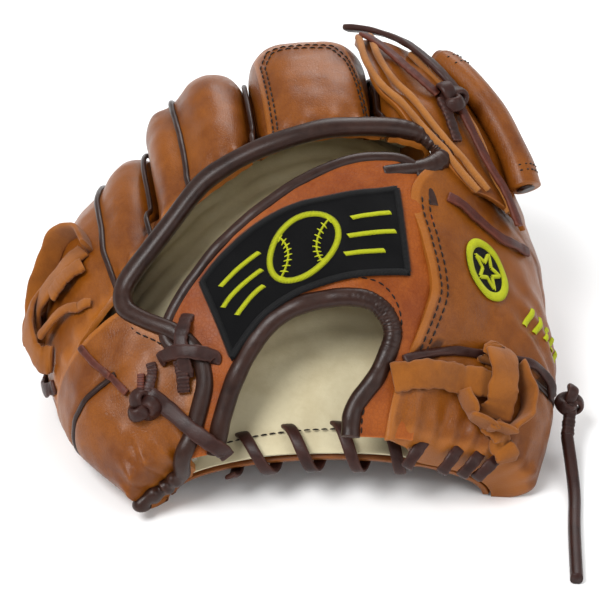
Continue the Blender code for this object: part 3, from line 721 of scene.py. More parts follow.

# %% [markdown]
# ## Bends and worn unevenness
# A piece that crosses a fold is given the two bodies it joins and two points across the fold,
# but it is not attached to either. Worn hide is never even: a few slow waves lift and sink
# every panel by less than a millimetre, and binding puckers the leather next to it.

# %% Bends and waves
CROTCH = 0.50                  # along the pattern, where thumb and index part
TIP = 1.0
PINKY_SEAM = 0.222             # across, where the side hide's section is fullest
SIDE_SEAM = [0.196, 0.235, 0.270, 0.293, 0.291, 0.268, 0.235, 0.218]
crown_a, crown_b = form(0.05, 0.37, 0.0), form(0.62, 0.525, 0.0)
run_line = (crown_b - crown_a)[:2]
over_line = np.array([-run_line[1], run_line[0], 0]) / np.linalg.norm(run_line)
middle_line = (crown_a + crown_b) / 2
FINGER_BEND = ("palm", "fingers", middle_line - over_line * 8 * MM,
               middle_line + over_line * 12 * MM)
crease = unit(form(THUMB_SPLIT, CROTCH, 0.0) - form(THUMB_SPLIT, 0.0, 0.0))
away = unit(np.array([1.0, 0, 0]) - crease * crease[0])
crease_middle = form(THUMB_SPLIT, 0.25, 20 * MM)
THUMB_BEND = ("palm", "thumb", crease_middle - away * 5 * MM, crease_middle + away * 16 * MM)
WAVE_COUNT = 12
WAVES = rng.normal(size=(WAVE_COUNT, 3))
WAVES /= np.linalg.norm(WAVES, axis=1, keepdims=True)
PHASES = rng.uniform(0, 2 * np.pi, WAVE_COUNT)


def drape(points, wave_length, strength):
    """Slow unevenness, as a height over each point."""
    turns = (points @ WAVES.T * (2 * np.pi / wave_length)
             * np.linspace(0.7, 1.5, WAVE_COUNT) + PHASES)
    return strength * np.sin(turns).sum(axis=-1) / 3.5


def ridge(value, centre, width):
    """A soft bump of height 1 at the centre."""
    return np.exp(-(((value - centre) / width) ** 2))


def rise_of(swing):
    """Height of a puffed section at its share across, from -1 to 1."""
    return (1 - np.clip(np.abs(swing), 0, 1) ** (2 / PUFF)) ** (PUFF / 2)


def heel_close(across, along):
    """How far the back still stands off the pocket near the heel, from 0 to 1."""
    turn = np.sqrt(1 - (1 - np.clip(along / 0.05, 0, 1)) ** 2)
    opened = smooth(0.17, 0.235, across) * smooth(0.68, 0.60, across)
    return turn + (1 - turn) * opened


def seam_line(along):
    """Where side hide and strap meet, under their shared binding."""
    return spline(SIDE_SEAM, np.clip(np.asarray(along, float) / 0.35, 0, 1))[..., 0]


def hide_surface(across, along):
    """The outside of the palm's back: side hide, strap and heel at a pattern place."""
    across, along = np.broadcast_arrays(np.asarray(across, float), np.asarray(along, float))
    share = rise_of(np.minimum(across / PINKY_SEAM - 1, 0)) * heel_close(across, along)
    height = SHELL_BASE + (back(across, along) - SHELL_BASE) * share
    return form(across, along, height)


def finger_start(across):
    """The slot's finger-side edge, which bows away from the knuckles at both ends."""
    rise = np.sin(np.pi * np.clip(np.asarray(across, float), 0, 1))
    return knuckle(across) + 0.006 + 0.060 * (1 - rise)


print("finger bend", np.round(FINGER_BEND[2], 3), "thumb bend", np.round(THUMB_BEND[2], 3))

# %% [markdown]
# ## The pocket
# The pocket is one hide from heel to fingertips. The thumb's part is cut separately and laps
# under it along the crease. They're seen from below and at the rim, so they carry the same
# slow waves as the rest but little detail.

# %% Pocket leather
POCKET_EDGE = 0.02             # across, at the little finger
POCKET_REACH = 0.985           # along, at the fingertips
THUMB_TIP = 0.95               # along, at the thumb's tip
THUMB_TIP_INNER = 0.84         # across, the thumb's inner edge at its tip
THUMB_GAP = 0.006              # across, between the palm's and the thumb's hides


def pocket_place(u, v):
    """The palm side's hide, straight on the form."""
    across = POCKET_EDGE + (THUMB_SPLIT - POCKET_EDGE) * u
    along = POCKET_REACH * v
    points = form(across, along, 0.0)
    return points + surface_normal(across, along) * drape(points, 55 * MM, 0.5 * MM)[:, None]


def thumb_inner(run):
    """The thumb's inner edge: the crease, then away from the index finger."""
    beyond = np.clip((np.asarray(run, float) * THUMB_TIP - CROTCH) / (THUMB_TIP - CROTCH), 0, 1)
    return THUMB_SPLIT + THUMB_GAP + (THUMB_TIP_INNER - THUMB_SPLIT - THUMB_GAP) * beyond


def thumb_front_place(u, v):
    """The thumb's palm side, tucked under the pocket's hide along the crease."""
    run = v * 0.97
    inner = thumb_inner(run) - 0.014 * (1 - smooth(0.45, 0.56, run))
    across = inner + (0.98 - inner) * u
    lap = -2.9 * MM * (1 - smooth(0.655, 0.69, across)) * (1 - smooth(0.45, 0.6, run))
    points = form(across, run * THUMB_TIP, lap)
    over = drape(points, 55 * MM, 0.4 * MM)
    return points + surface_normal(across, run * THUMB_TIP) * over[:, None]


pocket = sheet("pocket_leather", pocket_place, (110, 130), LEATHER, inward=False)
paint_wear_and_shade(pocket)
finish_piece(pocket, HIDE_DEEP, FINGER_BEND, ("palm_shell", "finger_front"))
thumb_front = sheet("thumb_pocket_leather", thumb_front_place, (70, 110), LEATHER, inward=False)
paint_wear_and_shade(thumb_front)
finish_piece(thumb_front, HIDE_DEEP, THUMB_BEND, ("thumb_palm_shell",))
print("pocket", len(pocket.data.vertices), "vertices")

# %% [markdown]
# ## Cream lining
# Thin garment leather lines the palm and the thumb. It shows through the wrist opening and
# the slot, so it runs on past the knuckles, and it rolls into soft creases where the hand
# bends it. A second sheet slopes from the slot down into the stalls. The felt pads, the
# stay and the care label lie under the hides, so they stay the part's own solids and only
# take a finish.

# %% Lining
LINING_LIFT = 0.9 * MM         # over the leather
LINING_TUCK = 0.012            # along, how far the stalls' lining runs under the slot's edge
LINING_REACH = 0.12            # along, from there down to the palm


def lining_place(u, v):
    """The palm's lining: rows of creases over slow waves, never below its rest height."""
    across = 0.10 + (0.665 - 0.10) * u
    along = 0.006 + 0.72 * v
    points = form(across, along, LEATHER + LINING_LIFT)
    crease_rows = 0.5 * MM * np.sin(along * 150 + 5 * np.sin(across * 9)) * smooth(0.1, 0.3, along)
    lift = drape(points, 34 * MM, 0.7 * MM) + crease_rows * smooth(0.5, 0.2, np.abs(across - 0.4))
    return points + surface_normal(across, along) * np.clip(lift + 0.6 * MM, 0, 3 * MM)[:, None]


def thumb_lining_place(u, v):
    run = 0.01 + v * 0.60
    inner = thumb_inner(run) - 0.002
    across = inner + (0.93 - inner) * u
    points = form(across, run * THUMB_TIP, LEATHER + LINING_LIFT)
    lift = drape(points, 30 * MM, 0.7 * MM) + 0.6 * MM
    return points + surface_normal(across, run * THUMB_TIP) * np.clip(lift, 0, 3 * MM)[:, None]


lining = sheet("palm_lining", lining_place, (90, 110), LINING, inward=False, soften=0.3 * MM)
paint_wear_and_shade(lining, rub=0.3)
finish_piece(lining, LINING_HIDE, FINGER_BEND, ("palm_liner",))
thumb_lining = sheet("thumb_lining", thumb_lining_place, (50, 80), LINING, inward=False,
                     soften=0.3 * MM)
paint_wear_and_shade(thumb_lining, rub=0.3)
finish_piece(thumb_lining, LINING_HIDE, THUMB_BEND, ("thumb_liner",))


def lining_height(across, along):
    """Height of the soft lining inside the finger stalls, sloping from slot to palm."""
    share = np.clip((along - finger_start(across) + LINING_TUCK) / LINING_REACH, 0, 1)
    low, high = LEATHER + LINING + 3.5 * MM, back(across, along) - 3.0 * MM
    return low + (high - low) * (1 - share) ** 0.9


def finger_lining_place(u, v):
    across = 0.232 + 0.410 * u
    along = finger_start(across) - LINING_TUCK + LINING_REACH * v
    points = form(across, along, lining_height(across, along))
    lift = drape(points, 30 * MM, 0.9 * MM) * np.sin(np.pi * v)
    return points + surface_normal(across, along) * lift[..., None]


finger_lining = sheet("finger_lining", finger_lining_place, (90, 40), LINING, soften=0.3 * MM)
paint_wear_and_shade(finger_lining, rub=0.3)
finish_piece(finger_lining, LINING_HIDE, FINGER_BEND)
eyelet_angle = np.linspace(0, 2 * np.pi, 24, endpoint=False)
eyelet_points, eyelet_normals = lay(finger_lining_place, np.c_[
    0.80 + 0.032 * np.cos(eyelet_angle), 0.30 + 0.10 * np.sin(eyelet_angle), np.full(24, 0.4)], 24)
eyelet = mirror_fix(sweep("lining_eyelet", eyelet_points, eyelet_normals, 1.0 * MM, 0.8 * MM,
                          steps=48, closed=True))
finish_piece(eyelet, BINDING, FINGER_BEND)
for pad, material in (("heel_pad_pinky", FELT), ("heel_pad_thumb", FELT), ("thumb_stay", STAY),
                      ("care_label", LABEL_CLOTH)):
    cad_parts[pad].data.materials.clear()
    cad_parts[pad].data.materials.append(material)
print("lining", len(lining.data.vertices), "vertices")

# %% [markdown]
# ## Finger stalls
# Each stall is a puffed hide that closes on the pocket along both sides and the tip. At the
# mouth the stalls flatten into one line, where the binding gathers them. The little and ring
# stalls are sewn from two hides with a welt between, so each has two lobes. Near the slot
# the walls stop just over the lining, so none of them shows through the opening.

# %% Finger stalls
STALLS = {"pinky": (0.0, 0.270), "ring": (0.273, 0.418), "middle": (0.420, 0.576),
          "index": (0.578, 0.650)}
SEAMS_BETWEEN = (0.2715, 0.419, 0.577)
WELT_LINES = {"pinky": 0.64, "ring": 0.46, "middle": None, "index": None}
MOUTH_REACH = 0.030            # the stalls run this far under the slot binding
GROOVE = 3.6 * MM              # depth of the seam between two lobes
STALL_LIFT = 1.2 * MM          # crown of a stall over the back's height
WALL_CLEAR = 2 * MM            # stall walls over the lining


def stall_place(finger):
    """The outside of one finger's stall, as a function of (u, v) and a lift over it."""
    left, right = STALLS[finger]
    seam = WELT_LINES[finger]

    def place(u, v, lift=0.0):
        run, run_rise = rounded(np.asarray(v, float), 0.0, 1.0)
        side, side_rise = rounded(np.asarray(u, float), -1.0, 1.0)
        across = left + (right - left) * side
        low = finger_start(across) - MOUTH_REACH
        along = low + (TIP - low) * run
        # At the mouth neighbouring stalls join into one line.
        near = 1 - smooth(0.012, 0.060, along - low)
        if finger == "pinky":
            near = near * smooth(0.25, 0.55, side)
        if finger == "index":
            near = near * smooth(0.75, 0.45, side)
        side_rise = side_rise + (1 - side_rise) * near
        if finger == "pinky":      # its outer side carries on from the side hide
            lower = (1 - smooth(0.0, 0.10, along - low)) * smooth(0.6, 0.4, side)
            swing = np.minimum(across / PINKY_SEAM - 1, 0)
            side_rise = side_rise + (rise_of(swing) - side_rise) * lower
        crown = back(across, along) + STALL_LIFT
        # The binding presses the hide down, and so does each seam between two fingers.
        sunk = 1.0 * MM * ridge(along, low + 0.018, 0.016)
        if finger != "pinky":
            sunk = sunk + 2.4 * MM * ridge(u, 0.0, 0.07) * near
        if finger != "index":
            sunk = sunk + 2.4 * MM * ridge(u, 1.0, 0.07) * near
        groove = 0.0 if seam is None else (GROOVE * ridge(u, seam, 0.075) * run_rise
                                           * smooth(0.0, 0.02, along - low))
        pucker = (0.7 * MM * np.sin(across * 260 + 3 * np.sin(across * 31))
                  * ridge(along, low + 0.035, 0.028))
        height = SHELL_BASE - 1.4 * MM + (crown - SHELL_BASE) * side_rise * run_rise
        # Walls that face the slot stop over the lining.
        inside = (smooth(0.30, 0.55, side) if finger == "pinky" else
                  smooth(0.75, 0.45, side) if finger == "index" else 1.0)
        floor = lining_height(across, along) + WALL_CLEAR
        height = height + np.maximum(floor - height, 0) * inside * smooth(0.14, 0.11, along - low)
        points = form(across, along, height)
        unevenness = drape(points, 42 * MM, 0.75 * MM) + drape(points, 13 * MM, 0.16 * MM)
        share = np.minimum(side_rise, 1) * np.minimum(run_rise * 2, 1)
        over = (unevenness + pucker - groove) * share - sunk * side_rise + lift
        return points + surface_normal(across, along) * np.asarray(over)[..., None]

    return place


stalls = {}
for finger in STALLS:
    stalls[finger] = stall_place(finger)
    obj = sheet(finger + "_stall", stalls[finger], (96 if finger != "index" else 50, 130), LEATHER)
    paint_wear_and_shade(obj)
    finish_piece(obj, HIDE, "fingers", (finger + "_finger_back",))
print("stalls:", list(stalls))

# %% [markdown]
# ## Welts and seams of the fingers
# A thin cord wrapped in dark hide sits in every finger seam, and runs round the fingertips
# between the backs and the pocket. It's one round section laid at the bottom of the groove.

# %% Welts


def welt(name, route, sizes, steps, rides, replaced=()):
    """A cord wrapped in dark hide along a route of points and normals."""
    obj = mirror_fix(sweep(name, *route, *sizes, steps=steps, square=2.0, sides=10))
    return finish_piece(obj, BINDING, rides, replaced)


for finger in ("pinky", "ring"):
    seam = WELT_LINES[finger]
    route = lay(stalls[finger], [(seam, 0.015, 0.4), (seam, 0.3, 0.9), (seam, 0.6, 0.9),
                                 (seam, 0.9, 0.5)], 90)
    welt(finger + "_seam_welt", route, (1.3 * MM, 1.3 * MM), 180, "fingers", (finger + "_welt",))
for index, s in enumerate(SEAMS_BETWEEN):
    along = np.linspace(finger_start(s) - 0.012, 0.97, 60)
    across = np.full(60, s)
    depth = (back(across, along) * smooth(1.02, 0.6, along)
             * (0.74 + 0.20 * smooth(0.075, 0.02, along - finger_start(s))))
    route = form(across, along, depth), surface_normal(across, along)
    welt(f"stall_seam_welt_{index}", route, (1.2 * MM, 1.2 * MM), 100, "fingers")
RIM_UP, RIM_OVER = 30, 89      # stops up the little finger's edge, and over the fingertips
rim_across = np.r_[np.full(RIM_UP, 0.012), np.linspace(0.012, 0.636, RIM_OVER + 1)[1:]]
rim_along = np.r_[np.linspace(0.42, 0.965, RIM_UP), np.full(RIM_OVER, 0.982)]
rim_along[RIM_UP:] += 0.004 * np.sin(np.linspace(0, 12, RIM_OVER))
rim = form(rim_across, rim_along, LEATHER + 1.2 * MM), surface_normal(rim_across, rim_along)
welt("fingertip_welt", rim, (1.5 * MM, 1.4 * MM), 240, "fingers")
print("welts laid")

# %% [markdown]
# ## Bindings
# Raw edges are wrapped in soft dark hide over a cord, so a binding is a fat rounded sweep.
# The slot's binding is one long strip: it starts at the thumb's lap, runs round the slot and
# on down the seam between side hide and strap to the heel. It gathers where it turns or is
# drawn in: short ripples swell the section at the slot's thumb end and along the heel.

# %% Slot and wrist bindings


def binding(name, points, normals, half_width, half_thick, rides, replaced, steps, swell=None):
    """A bound edge: a fat rounded sweep with worn ridges and painted shade in its hollows."""
    obj = mirror_fix(sweep(name, points, normals, half_width, half_thick, steps=steps,
                           square=2.2, sides=20, swell=swell))
    paint_wear_and_shade(obj, rub=0.6, shade_depth=0.8)
    return finish_piece(obj, BINDING, rides, replaced)


def puckers(where, width, size):
    """Short ripples of a section, gathered round one place of its route."""
    def swell(share):
        wrinkle = np.sin(share * 520) * 0.6 + np.sin(share * 331 + 1) * 0.4
        small = np.sin(share * 97) + np.sin(share * 61 + 2)
        return 1 + size * wrinkle * ridge(share, where, width) + 0.018 * small
    return swell


# across, along and mm over the hide, from the thumb's lap round the slot and down to the heel
SLOT_LINE = [(0.571, 0.436, -1.5), (0.604, 0.449, 0.0), (0.629, 0.466, 0.6), (0.645, 0.490, 0.8),
             (0.644, 0.511, 0.8), (0.626, 0.529, 0.6), (0.600, 0.529, 0.5), (0.569, 0.519, 0.4),
             (0.534, 0.506, 0.4), (0.496, 0.497, 0.4), (0.459, 0.489, 0.4), (0.416, 0.482, 0.4),
             (0.383, 0.475, 0.4), (0.350, 0.464, 0.4), (0.303, 0.432, 0.4), (0.268, 0.412, 0.4),
             (0.244, 0.400, 0.4), (0.224, 0.386, 0.4), (0.215, 0.366, 0.4), (0.216, 0.338, 0.4),
             (0.236, 0.298, 0.6), (0.268, 0.250, 0.6), (0.288, 0.211, 0.6), (0.296, 0.175, 0.6),
             (0.291, 0.138, 0.8), (0.268, 0.098, 1.0), (0.238, 0.055, 1.4), (0.206, 0.024, 1.8),
             (0.176, 0.008, 2.0), (0.125, 0.004, 2.0), (0.075, 0.006, 1.6), (0.030, 0.020, 0.6)]
SLOT_COUNT = 420
slot_points, slot_normals = pattern_lay(hide_surface, SLOT_LINE, SLOT_COUNT)


def slot_swell(share):
    """Gathers, shirring at the heel, and a thinner strip at its start and down the seam."""
    gathered = puckers(0.13, 0.05, 0.12)(share)
    shirred = 1 + 0.16 * np.sin(share * 260) * smooth(0.90, 0.94, share)
    return (gathered * shirred * (0.74 + 0.26 * smooth(0.0, 0.10, share))
            * (1 - 0.16 * smooth(0.56, 0.66, share)))


binding("slot_binding", slot_points, slot_normals, 4.4 * MM, 3.6 * MM, FINGER_BEND,
        ("finger_binding", "strap_end_roll"), swell=slot_swell, steps=520)
under_points, under_normals = pattern_lay(hide_surface, [(s - 0.026, r, 0.2) for s, r in (
    (0.236, 0.325), (0.243, 0.292), (0.262, 0.258), (0.282, 0.222))], 60)
finish_piece(stitch_line("slot_edge_stitches", under_points, under_normals), THREAD_DARK, "palm")
print("slot binding done")

# %% [markdown]
# ## Wrist strap
# The strap is a band that runs heel to heel round the wrist opening: narrow beside the side
# hide, widest on the back of the hand. It could be cut flat with the opening punched out, so
# it's laid here between two edge lines, lined, and bound along its raw edges.

# %% Strap
# both edges (across, along) from the little finger's heel round the wrist to the thumb's heel
WRIST_EDGE = [(0.262, 0.005), (0.295, 0.07), (0.345, 0.145), (0.405, 0.205), (0.48, 0.228),
              (0.555, 0.222), (0.592, 0.175), (0.575, 0.105), (0.540, 0.05), (0.535, 0.005)]
STRAP_EDGE = [(0.205, 0.005), (0.262, 0.09), (0.291, 0.17), (0.262, 0.262), (0.40, 0.375),
              (0.60, 0.455), (0.643, 0.29), (0.643, 0.15), (0.643, 0.07), (0.643, 0.005)]
STRAP_LIFT = 1.0 * MM          # over the back's height


def strap_surface(across, along, lift=0.0):
    """The outside of the strap at a pattern place."""
    points = form(across, along, back(across, along) + STRAP_LIFT + lift)
    uneven = drape(points, 30 * MM, 0.45 * MM) + drape(points, 11 * MM, 0.12 * MM)
    return points + surface_normal(across, along) * np.asarray(uneven)[..., None]


def strap_point(u, v, above=0.0):
    """A place on the strap: u runs round the wrist, v from the opening outwards."""
    u, v = np.asarray(u, float), np.asarray(v, float)
    inner, outer = spline(WRIST_EDGE, u), spline(STRAP_EDGE, u)
    across, along = np.moveaxis(inner + (outer - inner) * v[..., None], -1, 0)
    return strap_surface(across, along, above)


strap = sheet("strap", strap_point, (260, 40), LEATHER)
paint_wear_and_shade(strap)
finish_piece(strap, STRAP_HIDE, "palm", ("wrist_strap",))
strap_lining = sheet("strap_lining_hide",
                     lambda u, v: strap_point(0.01 + 0.98 * u, 0.03 + 0.94 * v,
                                              -LEATHER - 0.2 * MM),
                     (160, 16), LINING, soften=0.3 * MM)
paint_wear_and_shade(strap_lining, rub=0.3)
finish_piece(strap_lining, LINING_HIDE, "palm", ("strap_lining",))


def edge_route(u, edge, radius, above=0.0):
    """A line just beyond one edge of the strap, and the normals of the back there."""
    at = strap_point(u, np.full(len(u), edge), above)
    inside = strap_point(u, np.full(len(u), 0.06 + 0.88 * edge), above)
    ahead = unit(np.gradient(at, axis=0))
    out = at - inside
    out = unit(out - ahead * np.sum(out * ahead, axis=1, keepdims=True))
    return at + out * radius, unit(np.cross(ahead, out) * (1 if edge == 0 else -1))


wrist_u = np.linspace(0.0, 1.0, 60)
wrist_points, wrist_normals = edge_route(wrist_u, 0.0, 1.8 * MM, -LEATHER / 2)
binding("wrist_opening_binding", wrist_points, wrist_normals, 3.9 * MM, 3.5 * MM, "palm",
        ("wrist_binding",), steps=380, swell=puckers(0.62, 0.1, 0.04))
top_u = np.linspace(0.285, 0.605, 40)
top_points, top_normals = edge_route(top_u, 1.0, 1.0 * MM, -LEATHER / 2)
binding("strap_upper_binding", top_points, top_normals, 2.7 * MM, 2.5 * MM, "palm",
        ("strap_top_binding",), steps=220)
points, normals = lay(strap_point, [(u, 0.10, 0.0) for u in np.linspace(0.02, 0.985, 40)], 120)
if np.sum(normals @ surface_normal(0.5, 0.3)) < 0:
    normals = -normals
finish_piece(stitch_line("wrist_edge_stitches", points, normals, gap=1.1 * MM, radius=0.36 * MM),
             THREAD_DARK, "palm")
print("strap", len(strap.data.vertices), "vertices")

# %% [markdown]
# ## Patch
# The patch is black twill sewn on the strap's widest part, its raw edge covered with satin
# stitch, with a plain ball between slanted bars embroidered on it. Every line is a row of
# short threads laid side by side, so it catches the light as real embroidery does.

# %% Patch
PATCH_THICK = 1.2 * MM
PATCH_LIFT = 0.3 * MM          # over the strap
SATIN_PITCH, SATIN_RADIUS = 0.55 * MM, 0.30 * MM
THREAD_LIFT = 0.1               # mm
# lower and upper edge (across, along), left to right
PATCH_LOW = [(0.343, 0.155), (0.373, 0.183), (0.401, 0.206), (0.436, 0.223),
             (0.471, 0.236), (0.514, 0.246), (0.561, 0.256), (0.604, 0.263)]
PATCH_HIGH = [(0.321, 0.306), (0.356, 0.333), (0.398, 0.358), (0.444, 0.376),
              (0.494, 0.386), (0.541, 0.396), (0.569, 0.404), (0.586, 0.411)]


def patch_point(u, v, above=0.0):
    """A place on the patch, which keeps to every wave of the strap below it."""
    low, high = spline(PATCH_LOW, u), spline(PATCH_HIGH, u)
    across, along = np.moveaxis(low + (high - low) * np.asarray(v, float)[..., None], -1, 0)
    return strap_surface(across, along, above + PATCH_LIFT)


patch = sheet("strap_patch", patch_point, (120, 50), PATCH_THICK, inward=False)
finish_piece(patch, PATCH, "palm", ("wrist_patch",))


def patch_line(stops):
    """Points and upward normals along stops (u, v), just over the patch."""
    points, normals = lay(lambda u, v: patch_point(u, v, PATCH_THICK),
                          [(*s, THREAD_LIFT) for s in stops], len(stops))
    if np.sum(normals[:, 2]) < 0:
        normals = -normals
    return points, normals


def satin(name, stops, half_width, material=THREAD_YELLOW, slant=0.0):
    """Satin stitch: threads laid side by side across a line of the patch."""
    points, normals = patch_line(stops)
    centres, up = even_route(points, normals, SATIN_PITCH)
    ahead = unit(np.gradient(centres, axis=0))
    across = unit(np.cross(ahead, up) + ahead * slant)
    obj = threads(name, centres - across * half_width, centres + across * half_width, up,
                  SATIN_RADIUS, 0.42 * MM)
    return finish_piece(obj, material, "palm")


def line_stops(corners, closed=False, per_side=26):
    """Evenly spaced stops along straight sides."""
    corners = list(corners) + ([corners[0]] if closed else [])
    stops = []
    for (u0, v0), (u1, v1) in zip(corners[:-1], corners[1:]):
        for i in range(per_side):
            stops.append((u0 + (u1 - u0) * i / per_side, v0 + (v1 - v0) * i / per_side))
    return stops + [corners[-1]]


patch_corners = [(0.012, 0.03), (0.012, 0.97), (0.988, 0.97), (0.988, 0.03)]
satin("patch_edge_satin", line_stops(patch_corners, closed=True), 1.5 * MM,
      material=THREAD_BLACK)
BALL_AT, BALL_WIDE, BALL_HIGH = (0.50, 0.50), 0.150, 0.34
angle = np.linspace(0, 2 * np.pi, 61)


def on_ball(x, y):
    return BALL_AT[0] + BALL_WIDE * x, BALL_AT[1] + BALL_HIGH * y


def ball_seam(side, reach, count):
    """Stops along one bowed seam of the ball, side -1 or 1."""
    return [on_ball(side * (0.42 + 0.36 * b * b), b * 0.80)
            for b in np.linspace(-reach, reach, count)]


satin("ball_outline", [on_ball(math.cos(a), math.sin(a)) for a in angle], 1.3 * MM)
SIDES = (("left", -1), ("right", 1))
for label, side in SIDES:
    satin(f"ball_seam_{label}", ball_seam(side, 0.92, 31), 0.5 * MM)
    points, normals = patch_line(ball_seam(side, 0.8, 9))
    ahead = unit(np.gradient(points, axis=0))
    reach = unit(np.cross(ahead, normals)) * 1.7 * MM
    lean = ahead * side * 1.0 * MM
    finish_piece(threads(f"ball_ticks_{label}", points - reach + lean, points + reach, normals,
                         0.34 * MM, 0.4 * MM), THREAD_YELLOW, "palm")
for label, side in SIDES:
    for row, (offset, reach) in enumerate(((0.20, 0.30), (0.0, 0.34), (-0.20, 0.26))):
        start = 0.5 + side * 0.19
        ends = [(start, 0.5 + offset), (start + side * reach * 0.72, 0.5 + offset * 1.05)]
        satin(f"patch_bar_{label}_{row}", line_stops(ends, per_side=20), 1.15 * MM, slant=0.5)
print("patch done")

# %% [markdown]
# ## Thumb
# The thumb's back hide runs from its sewn lap on the strap, over the thumb, and down to the
# pocket. The lap is a few layers thick, so it stands a little proud of the strap.

# %% Thumb back
THUMB_CLOSE, THUMB_CLOSE_OVER = 0.53, 0.12     # along, where its inner edge comes down
LAP_RISE = 3.4 * MM
# LAP_LINE is across, from the heel to the crotch; SEAM_LINE is along, from crease to edge.
LAP_LINE = [0.588, 0.598, 0.620, 0.635, 0.620, 0.606, 0.655]
SEAM_LINE = [0.128, 0.168, 0.198, 0.212, 0.262, 0.310]


def thumb_edge(along):
    """The back hide's inner edge: the lap on the strap, then the thumb's own edge."""
    return np.where(along < CROTCH, spline(LAP_LINE, np.clip(along / CROTCH, 0, 1))[..., 0],
                    thumb_inner(along / THUMB_TIP))


def thumb_surface(across, along, lift=0.0):
    """The thumb's back at a pattern place."""
    across, along = np.broadcast_arrays(np.asarray(across, float), np.asarray(along, float))
    run = along / THUMB_TIP
    close = np.clip((run - THUMB_CLOSE) / THUMB_CLOSE_OVER, 0, 1)
    first = -np.sin(close * np.pi / 2) ** PUFF
    inner = thumb_inner(run)
    side = np.clip((across - inner) / (1 - inner), 0, 1)
    share = rise_of(first + side * (1 - first)) * rise_of(run) * heel_close(across, along)
    height = SHELL_BASE - 1.0 * MM + (back(across, along) - SHELL_BASE) * share
    points = form(across, along, height)
    seam_at = spline(SEAM_LINE, np.clip((across - 0.60) / 0.40, 0, 1))[..., 0]
    seam = 2.4 * MM * ridge(along, seam_at, 0.011)
    folds = (1.0 * MM * np.sin(along * 100 + across * 22) * ridge(across, 0.86, 0.07)
             * ridge(along, 0.30, 0.12))
    gathers = 1.3 * MM * np.sin(across * 150) * ridge(along, 0.0, 0.06)
    uneven = drape(points, 40 * MM, 0.8 * MM) + drape(points, 12 * MM, 0.2 * MM)
    lap = (LAP_RISE * (1 - smooth(0.045, 0.11, across - thumb_edge(along)))
           * smooth(0.54, 0.47, along))
    over = (uneven + folds + gathers - seam) * share + lap + lift
    return points + surface_normal(across, along) * np.asarray(over)[..., None]


def thumb_back_place(u, v):
    """The thumb's back, with grid rows drawn towards the edges where it closes."""
    along = THUMB_TIP * (0.3 * v + 0.7 * rounded(v, 0.0, 1.0)[0])
    close = -np.clip((along / THUMB_TIP - THUMB_CLOSE) / THUMB_CLOSE_OVER, 0, 1)
    edge = thumb_edge(along)
    across = edge + (1 - edge) * (0.3 * u + 0.7 * rounded(u, close, 1.0)[0])
    return thumb_surface(across, along)


thumb_back = sheet("thumb_back_hide", thumb_back_place, (190, 190), LEATHER)
paint_wear_and_shade(thumb_back)
finish_piece(thumb_back, HIDE, THUMB_BEND, ("thumb_back_shell",))
seam_s = np.linspace(0.612, 0.985, 24)
seam_t = spline(SEAM_LINE, (seam_s - 0.60) / 0.40)[:, 0]
route = pattern_lay(thumb_surface, np.c_[seam_s, seam_t, np.full(24, 0.7)], 160)
welt("thumb_seam_welt", route, (1.5 * MM, 1.3 * MM), 260, THUMB_BEND, ("thumb_welt",))
for index, offset in enumerate((0.014, 0.024)):
    lap_t = np.linspace(0.15, 0.405, 14)
    lap_s = thumb_edge(lap_t) + offset
    points, normals = pattern_lay(thumb_surface, np.c_[lap_s, lap_t, np.full(14, 0.15)], 120)
    finish_piece(stitch_line(f"lap_stitches_{index}", points, normals), THREAD_DARK, "palm")
print("thumb back", len(thumb_back.data.vertices), "vertices")

# %% [markdown]
# ## Embroidery on the thumb
# A round badge with a star is embroidered near the crease, and slanted bars beside it. Both
# are satin stitch over the hide, so they follow every wave of it. Places round a centre are
# given in millimetres, measured over the hide.

# %% Badge and bars


def around(shape, centre, x, y):
    """Places x, y metres from a centre, measured over a pattern surface."""
    s, t = centre
    step = 4e-3
    wide = np.linalg.norm(shape(s + step, t) - shape(s - step, t)) / (2 * step)
    tall = np.linalg.norm(shape(s, t + step) - shape(s, t - step)) / (2 * step)
    return s + np.asarray(x, float) / wide, t + np.asarray(y, float) / tall


def embroider(name, centre, outline, half_width, above=0.2, slant=0.0):
    """Satin stitch along an outline of (x, y) metres round a centre on the thumb."""
    outline = np.asarray(outline, float)
    s, t = around(thumb_surface, centre, outline[:, 0], outline[:, 1])
    count = max(24, len(s) * 3)
    points, normals = pattern_lay(thumb_surface, np.c_[s, t, np.full(len(s), above)], count)
    centres, up = even_route(points, normals, 0.5 * MM)
    ahead = unit(np.gradient(centres, axis=0))
    across = unit(np.cross(ahead, up) + ahead * slant)
    obj = threads(name, centres - across * half_width, centres + across * half_width, up,
                  SATIN_RADIUS, 0.5 * MM)
    return finish_piece(obj, THREAD_YELLOW, THUMB_BEND)


BADGE_AT, BADGE_RADIUS = (0.724, 0.341), 12.5 * MM
turn = np.linspace(0, 2 * np.pi, 41)


def badge_place(u, v):
    reach, angle = BADGE_RADIUS * np.asarray(u, float), 2 * np.pi * np.asarray(v, float)
    s, t = around(thumb_surface, BADGE_AT, reach * np.cos(angle), reach * np.sin(angle))
    return thumb_surface(s, t, 0.7 * MM)


